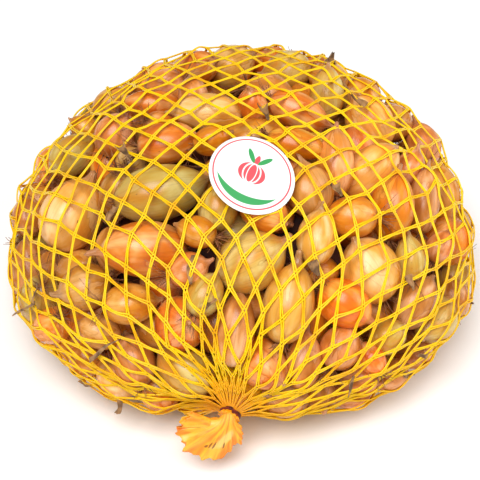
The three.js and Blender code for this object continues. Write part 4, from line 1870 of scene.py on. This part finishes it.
@dataclass(frozen=True)
class SkinFinish(Finish):
    """A dry papery onion skin."""

    name: str
    main: Colour
    pale: Colour
    deep: Colour
    vein: Colour
    roughness: float = 0.42
    speck: Colour = paint(84, 44, 20)
    neck: tuple[Colour, Colour] = (paint(205, 150, 105), paint(120, 70, 45))
    root: tuple[Colour, Colour] = (paint(70, 38, 24), paint(165, 115, 75))

    def material(self) -> Material:
        """Build the material.

        Returns:
            The material.
        """
        material, graph, shader = self.start(self.name)
        places = {"Place": graph.attribute("skin_place"), "Mark": graph.attribute("skin_mark")}
        marks = graph.node("NodeGroup", places, node_tree=SkinMarks.tree()).outputs
        colour = graph.mix(graph.ramp(marks["Blotches"], 0.45, 0.78), self.main, self.deep)
        colour = graph.mix(graph.ramp(marks["Blotches"], 0.54, 0.26), colour, self.pale)
        fibres = graph.ramp(marks["Fibres"], 0.4, 0.62)
        layers = (
            (marks["Peeled"], 0.35, self.pale),
            (marks["Veins"], 0.24, self.vein),
            (graph.ramp(marks["Fibres"], 0.55, 0.75), 0.15, self.vein),
            (marks["Peel Edge"], 0.22, self.vein),
            (marks["Specks"], 0.6, self.speck),
            (marks["Neck"], 0.75, graph.mix(fibres, *self.neck)),
            (marks["Root"], 0.9, graph.mix(fibres, *self.root)),
        )
        for mask, amount, other in layers:
            colour = graph.tint(colour, mask, amount, other)
        tone = graph.node("NodeHueSaturation", {
            "Color": colour, "Value": graph.ramp(marks["Own"], 0, 1, False, (0.84, 1.12)),
            "Hue": graph.ramp(marks["Own"], 1, 0, False, (0.494, 0.507))})
        rough = graph.ramp(marks["Blotches"], 0.3, 0.7, False,
                           (self.roughness - 0.08, self.roughness + 0.12))
        graph.fill(shader, {
            "Base Color": tone.outputs["Color"],
            "Roughness": graph.math("MULTIPLY_ADD", marks["Neck"], 0.2, rough),
            "Specular IOR Level": 0.05, "Coat Weight": 0.9, "Coat Roughness": 0.27,
            "Normal": graph.bump(marks["Height"], 0.5, 0.00025)})
        return material


@dataclass(frozen=True)
class YarnFinish(Finish):
    """Glossy plastic yarn: yellow with amber patches, painted shade that makes it more amber low
    down, and more amber near the ties.
    """

    name: str = "yellow_yarn"
    light: Colour = paint(255, 206, 10)
    # Amber for random patches, and for the painted shade low down.
    amber_and_low_shade: Colour = paint(242, 174, 4)
    gathered: Colour = paint(255, 162, 24)

    def material(self) -> Material:
        """Build the material.

        Returns:
            The material.
        """
        material, graph, shader = self.start(self.name)
        place = graph.place()
        # Painted shade near the ground: the yarn is tinted amber from 5 cm down to 8 mm over the
        # floor.
        low = graph.ramp(graph.split(place)[2], 0.05, 0.008)
        patch = graph.noise(place, 90.0, 3.0)
        colour = graph.mix(graph.ramp(patch, 0.45, 0.75), self.light, self.amber_and_low_shade)
        colour = graph.tint(colour, low, 0.55, self.amber_and_low_shade)
        for end in (FRONT, BACK):
            away = graph.length(graph.vector("SUBTRACT", place, tuple(MM * k for k in end.tie)))
            colour = graph.mix(graph.ramp(away, 0.02, 0.002), colour, self.gathered)
        graph.fill(shader, {
            "Base Color": colour, "Roughness": graph.ramp(patch, 0.3, 0.7, False, (0.3, 0.45)),
            "Specular IOR Level": 0.3, "Subsurface Weight": 0.25,
            "Subsurface Radius": (1.0, 0.6, 0.1), "Subsurface Scale": 0.0012,
            "Normal": graph.bump(graph.noise(place, 2600.0, 2.0), 0.35, 0.0001)})
        return material


@dataclass(frozen=True)
class TailFinish(Finish):
    """The thin folded net end: film with streaks that run out from the tie, painted shade in the
    hollows of its folds and in its dark slits, and painted highlights.
    """

    name: str = "tail_film"
    light: Colour = paint(255, 184, 48)
    # Darker orange for the streaks and fine marks, and painted shade in the hollows of the folds.
    fold: Colour = paint(250, 132, 30)
    # The pale of the painted highlights on the film.
    pale: Colour = paint(255, 226, 150)
    # The painted shade in the slits.
    painted_slit_shade: Colour = paint(110, 58, 10)
    slit_width: float = 0.014
    # Of each dark slit, which is painted shade where the film seems to open: its place across and
    # along the film, and its length.
    slits: tuple[Triple, ...] = (
        (0.4, 0.66, 0.09), (0.44, 0.63, 0.11), (0.56, 0.66, 0.1), (0.37, 0.72, 0.05))

    @staticmethod
    def _drawn_out(graph: Graph, opened: object, far: object, across: float,
                   along: float) -> Socket:
        """Return the place on the film with its own scale across and along it."""
        return graph.join(graph.math("MULTIPLY", opened, across),
                          graph.math("MULTIPLY", far, along))

    def material(self) -> Material:
        """Build the material.

        Returns:
            The material.
        """
        material, graph, shader = self.start(self.name)
        opened, far, fold = graph.split(graph.attribute("fold_place"))
        streaks = graph.noise(self._drawn_out(graph, opened, far, 15.0, 1.6), 1.0, 2.0, 0.3)
        fine = graph.noise(self._drawn_out(graph, opened, far, 70.0, 3.0), 1.0, 2.0, 0.4)
        colour = graph.mix(graph.ramp(streaks, 0.46, 0.66), self.light, self.fold)
        # Painted shade: where the film lies in on a fold, it takes the darker fold colour.
        colour = graph.mix(graph.ramp(fold, 0.0, -0.6), colour, self.fold)
        colour = graph.tint(colour, graph.ramp(fine, 0.5, 0.75), 0.35, self.fold)
        # Painted highlights: pale patches laid on the film as glints.
        painted_shine = graph.ramp(graph.noise(graph.place(), 150.0, 1.0), 0.6, 0.72)
        colour = graph.tint(colour, painted_shine, 0.4, self.pale)
        # Each slit is painted shade, dark where the film seems to open.
        for turned, out, long in self.slits:
            aside = graph.math("MULTIPLY", graph.math("SUBTRACT", opened, turned),
                               1 / self.slit_width)
            along = graph.math("MULTIPLY", graph.math("SUBTRACT", far, out), 1 / long)
            wave = graph.math("MULTIPLY_ADD", fine, 1.6, graph.math("SUBTRACT", aside, 0.8))
            painted_shade = graph.ramp(graph.length(graph.join(wave, along)), 1.1, 0.5)
            colour = graph.tint(colour, painted_shade, 0.85, self.painted_slit_shade)
        graph.fill(shader, {
            "Base Color": colour, "Roughness": graph.ramp(streaks, 0.3, 0.7, False, (0.28, 0.48)),
            "Subsurface Weight": 0.35, "Subsurface Radius": (1.0, 0.55, 0.12),
            "Subsurface Scale": 0.0015, "Normal": graph.bump(fine, 0.5, 0.0003)})
        return material


@dataclass(frozen=True)
class FibreFinish(Finish):
    """A streaked finish on object coordinates: dry roots, dried leaves and ties, and the dark core,
    whose colour is painted shade.
    """

    name: str
    main: Colour
    other: Colour
    scale: float = 300.0
    roughness: float = 0.7
    relief: float = 0.0003

    def material(self) -> Material:
        """Build the material.

        Returns:
            The material.
        """
        material, graph, shader = self.start(self.name)
        place = graph.place()
        patch = graph.noise(place, self.scale, 4.0, 0.5)
        spread = (self.roughness - 0.1, self.roughness + 0.1)
        graph.fill(shader, {
            "Base Color": graph.mix(graph.ramp(patch, 0.38, 0.64), self.main, self.other),
            "Roughness": graph.ramp(patch, 0.3, 0.7, False, spread),
            "Normal": graph.bump(graph.noise(place, self.scale * 4, 3.0), 0.5, self.relief)})
        return material


@dataclass(frozen=True)
class PaperFinish(Finish):
    """The label's white paper with a plain print: a bulb with two leaves, a ring and a sickle."""

    name: str = "label_print"
    paper: Colour = paint(250, 250, 248)
    coral: Colour = paint(226, 84, 92)
    green: Colour = paint(58, 158, 88)
    turned: float = math.radians(-22)

    def _oval(self, graph: Graph, place: object, middle: Pair,
              radii: Pair, degrees: float = 0.0) -> Socket:
        """Return how far out in an oval a place lies, 1 on its edge.

        Args:
            graph: Where nodes are added.
            place: The place on the print.
            middle: The oval's middle.
            radii: Its half width and half height.
            degrees: How far it is turned.

        Returns:
            The distance.
        """
        mapping = graph.node("NodeMapping", {
            "Vector": place, "Location": (*middle, 0.0),
            "Rotation": (0.0, 0.0, math.radians(degrees)), "Scale": (*radii, 1.0),
        }, vector_type="TEXTURE")
        return graph.length(mapping.outputs["Vector"])

    def material(self) -> Material:
        """Build the material.

        Returns:
            The material.
        """
        material, graph, shader = self.start(self.name)
        flat = graph.vector("MULTIPLY", graph.attribute("label_place"), (1.0, 1.0, 0.0))
        turn = graph.node("NodeMapping", {"Vector": flat, "Rotation": (0.0, 0.0, self.turned)},
                          vector_type="TEXTURE")
        place = turn.outputs["Vector"]
        out = graph.length(place)
        inside = graph.ramp(self._oval(graph, place, (0, -0.02), (0.32, 0.27)), 1.04, 0.98)
        tip = graph.ramp(self._oval(graph, place, (0, 0.24), (0.07, 0.26)), 1.08, 0.94)
        bulb = graph.math("MAXIMUM", inside, tip)
        colour = graph.mix(bulb, self.paper, self.coral)
        for wide in (0.1, 0.2):
            far = self._oval(graph, place, (0, -0.02), (wide, 0.27))
            off = graph.math("ABSOLUTE", graph.math("SUBTRACT", far, 1.0))
            line = graph.math("SUBTRACT", 1.0, graph.ramp(off, 0.04, 0.09 + 0.006 / wide))
            colour = graph.tint(colour, line, inside, self.paper)
        for side in (-1, 1):
            leaf = self._oval(graph, place, (0.17 * side, 0.42), (0.06, 0.2), -36 * side)
            colour = graph.mix(graph.ramp(leaf, 1.08, 0.92), colour, self.green)
        ring = graph.ramp(graph.math("ABSOLUTE", graph.math("SUBTRACT", out, 0.9)), 0.024, 0.012)
        colour = graph.mix(ring, colour, self.coral)
        cut = graph.ramp(self._oval(graph, place, (0, 0.34), (1.02, 0.94)), 1.0, 1.02)
        sickle = graph.math("MULTIPLY", cut, graph.ramp(out, 0.81, 0.795))
        colour = graph.mix(sickle, colour, self.green)
        fine = graph.noise(graph.place(), 1800.0, 3.0)
        graph.fill(shader, {
            "Base Color": colour, "Roughness": graph.ramp(fine, 0.3, 0.7, False, (0.36, 0.46)),
            "Normal": graph.bump(fine, 0.1, 0.00005)})
        return material


@dataclass(frozen=True)
class FloorFinish(Finish):
    """Plain pale floor."""

    name: str = "pale_floor"
    tone: Colour = paint(250, 250, 250)

    def material(self) -> Material:
        """Build the material.

        Returns:
            The material.
        """
        material, graph, shader = self.start(self.name)
        graph.fill(shader, {"Base Color": self.tone, "Roughness": 0.9, "Specular IOR Level": 0.1})
        return material


SKIN_FINISHES: dict[Skin, SkinFinish] = {
    Skin.CREAM: SkinFinish("cream_skin", paint(240, 174, 74), paint(255, 214, 150),
                           paint(218, 130, 32), paint(168, 92, 26), 0.38),
    Skin.GOLDEN: SkinFinish("golden_skin", paint(228, 140, 33), paint(252, 188, 106),
                            paint(208, 106, 8), paint(156, 74, 12)),
    Skin.ORANGE: SkinFinish("orange_skin", paint(226, 126, 34), paint(250, 188, 116),
                            paint(200, 86, 10), paint(140, 54, 16), 0.36),
    Skin.RUST: SkinFinish("rust_skin", paint(228, 126, 18), paint(248, 178, 74),
                          paint(206, 96, 4), paint(128, 48, 4), 0.36),
    Skin.TAN: SkinFinish("tan_skin", paint(214, 142, 54), paint(244, 186, 120),
                         paint(184, 104, 24), paint(128, 68, 20), 0.46),
    Skin.OLIVE: SkinFinish("olive_skin", paint(204, 160, 66), paint(222, 200, 124),
                           paint(210, 132, 34), paint(128, 82, 20), 0.4),
    Skin.ROSE: SkinFinish("rose_skin", paint(213, 133, 60), paint(246, 182, 128),
                          paint(176, 94, 26), paint(122, 62, 24), 0.48),
}


# ---- Floor, light and camera ----


@dataclass
class Studio:
    """A pale floor, soft light and the camera in front of and above the bag."""

    dome: Dome
    view: View
    lens: float = 109.0
    sensor: float = 36.0
    key_place: Triple = (-0.24, -0.66, 1.33)
    key_size: float = 1.0
    key_power: float = 24.1
    side_place: Triple = (1.1, -0.1, 0.7)
    side_size: float = 0.9
    side_power: float = 6.5
    lit_height: float = 0.03  # the height on the bag that the lights face
    sky: float = 0.27
    ground_size: float = 3000.0

    def build(self) -> None:
        """Build the floor, the lights and the camera."""
        scene = bpy.context.scene
        scene.view_settings.view_transform = "Standard"
        ground = bmesh.new()
        bmesh.ops.create_grid(ground, x_segments=1, y_segments=1, size=self.ground_size)
        floor = object_from("pale_ground", ground, smooth=False)
        floor.data.materials.append(FloorFinish().material())
        self._light("key_light", self.key_place, self.key_size, self.key_power)
        self._light("side_light", self.side_place, self.side_size, self.side_power)
        world = bpy.data.worlds.new("soft_sky")
        world.use_nodes = True
        sky = world.node_tree.nodes["Background"].inputs
        sky["Color"].default_value = (1, 1, 1, 1)
        sky["Strength"].default_value = self.sky
        scene.world = world
        self._camera(scene)

    def _light(self, name: str, place: Triple, size: float,
               power: float) -> None:
        """Add a square soft light that faces the bag.

        Args:
            name: Its name.
            place: Its place in metres.
            size: Its side.
            power: Its power in watts.
        """
        lamp = bpy.data.lights.new(name, "AREA")
        lamp.size = size
        lamp.energy = power
        holder = bpy.data.objects.new(name, lamp)
        holder.location = place
        toward = Vector((0, 0, self.lit_height)) - Vector(place)
        holder.rotation_euler = toward.to_track_quat("-Z", "Y").to_euler()
        bpy.context.scene.collection.objects.link(holder)

    def _camera(self, scene: bpy.types.Scene) -> None:
        """Add the camera that the onions were placed from.

        Args:
            scene: The scene that gets it.
        """
        data = bpy.data.cameras.new("front_camera")
        data.lens = self.lens
        data.sensor_width = self.sensor
        middle_x, middle_y = self.view.picture_middle
        size = self.view.picture_size
        data.shift_x = (size / 2 - middle_x) / size
        data.shift_y = (middle_y - size / 2) / size
        camera = bpy.data.objects.new("front_camera", data)
        eye = Vector(self.view.eye(self.dome) * MM)
        camera.location = eye
        aim = Vector(self.dome.middle * MM) - eye
        camera.rotation_euler = aim.to_track_quat("-Z", "Y").to_euler()
        scene.collection.objects.link(camera)
        scene.camera = camera


# ---- The whole bag ----


def dress(piece: Piece, material: Material, slot: str, *nodes: str) -> None:
    """Give a piece its material, and hide the solids that it stands for.

    Args:
        piece: The piece.
        material: Its material.
        slot: Not used.
        nodes: Names of the solids.
    """
    piece.data.materials.clear()
    piece.data.materials.append(material)
    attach(piece, "root")
    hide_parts(*nodes)
    faces = sum(len(face.vertices) - 2 for face in piece.data.polygons)
    LOG.info("%s: %d triangles", piece.name, faces)


@dataclass
class OnionBag:
    """The net of onion sets."""

    dome: Dome = field(default_factory=Dome)
    view: View = field(default_factory=View)
    seat: LabelSeat = field(default_factory=LabelSeat)

    def build(self) -> None:
        """Build and dress all pieces."""
        onions = Packing(self.dome, self.view, self.seat).onions()
        self._heap(onions)
        yarn = YarnFinish().material()
        for piece in Net(self.dome, self.seat).build(onions):
            dress(piece, yarn, "net_yarn", "onion_heap")
        tail = TailFinish().material()
        cord = FibreFinish("tie_cord", paint(124, 30, 8), paint(74, 16, 4), 900.0, 0.6).material()
        for place in (FRONT, BACK):
            end = TiedEnd(place, self.dome)
            dress(end.neck(), yarn, "net_yarn", f"{place.side}_neck")
            for piece, finish in zip(end.tie(), (yarn, cord)):
                dress(piece, finish, "tie", f"{place.side}_tie")
            dress(end.tail(), tail, "net_tail", f"{place.side}_tail")
        label = Label(self.seat, self.dome).build()
        dress(label, PaperFinish().material(), "label_paper", "label")

    def _heap(self, onions: Sequence[Onion]) -> None:
        """Build what is in the net.

        Args:
            onions: All onions.
        """
        model = OnionModel(self.dome)
        for skin, piece in model.bulbs(onions).items():
            dress(piece, SKIN_FINISHES[skin].material(), "onion_skin", "onion_heap")
        hair = FibreFinish("root_hair", paint(176, 118, 70), paint(104, 58, 30), 500.0).material()
        dress(model.root_hairs(onions), hair, "onion_skin", "onion_heap")
        leaf = FibreFinish("dried_leaf", paint(170, 126, 78), paint(98, 70, 44), 260.0).material()
        dress(Leaves(self.dome, self.view).build(), leaf, "onion_skin", "onion_heap")
        # The core's dark brown is painted shade for the deep gaps between the onions.
        painted_shade = FibreFinish("painted_shade_middle", paint(52, 20, 16), paint(96, 44, 20), 120.0).material()
        dress(ShadeCore(self.dome).build(), painted_shade, "onion_skin", "onion_heap")


def main() -> None:
    """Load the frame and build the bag."""
    logging.basicConfig(level=logging.INFO, format="%(name)s: %(message)s")
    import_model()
    bag = OnionBag()
    bag.build()
    Studio(bag.dome, bag.view).build()
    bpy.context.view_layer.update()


if __name__ == "__main__":
    main()
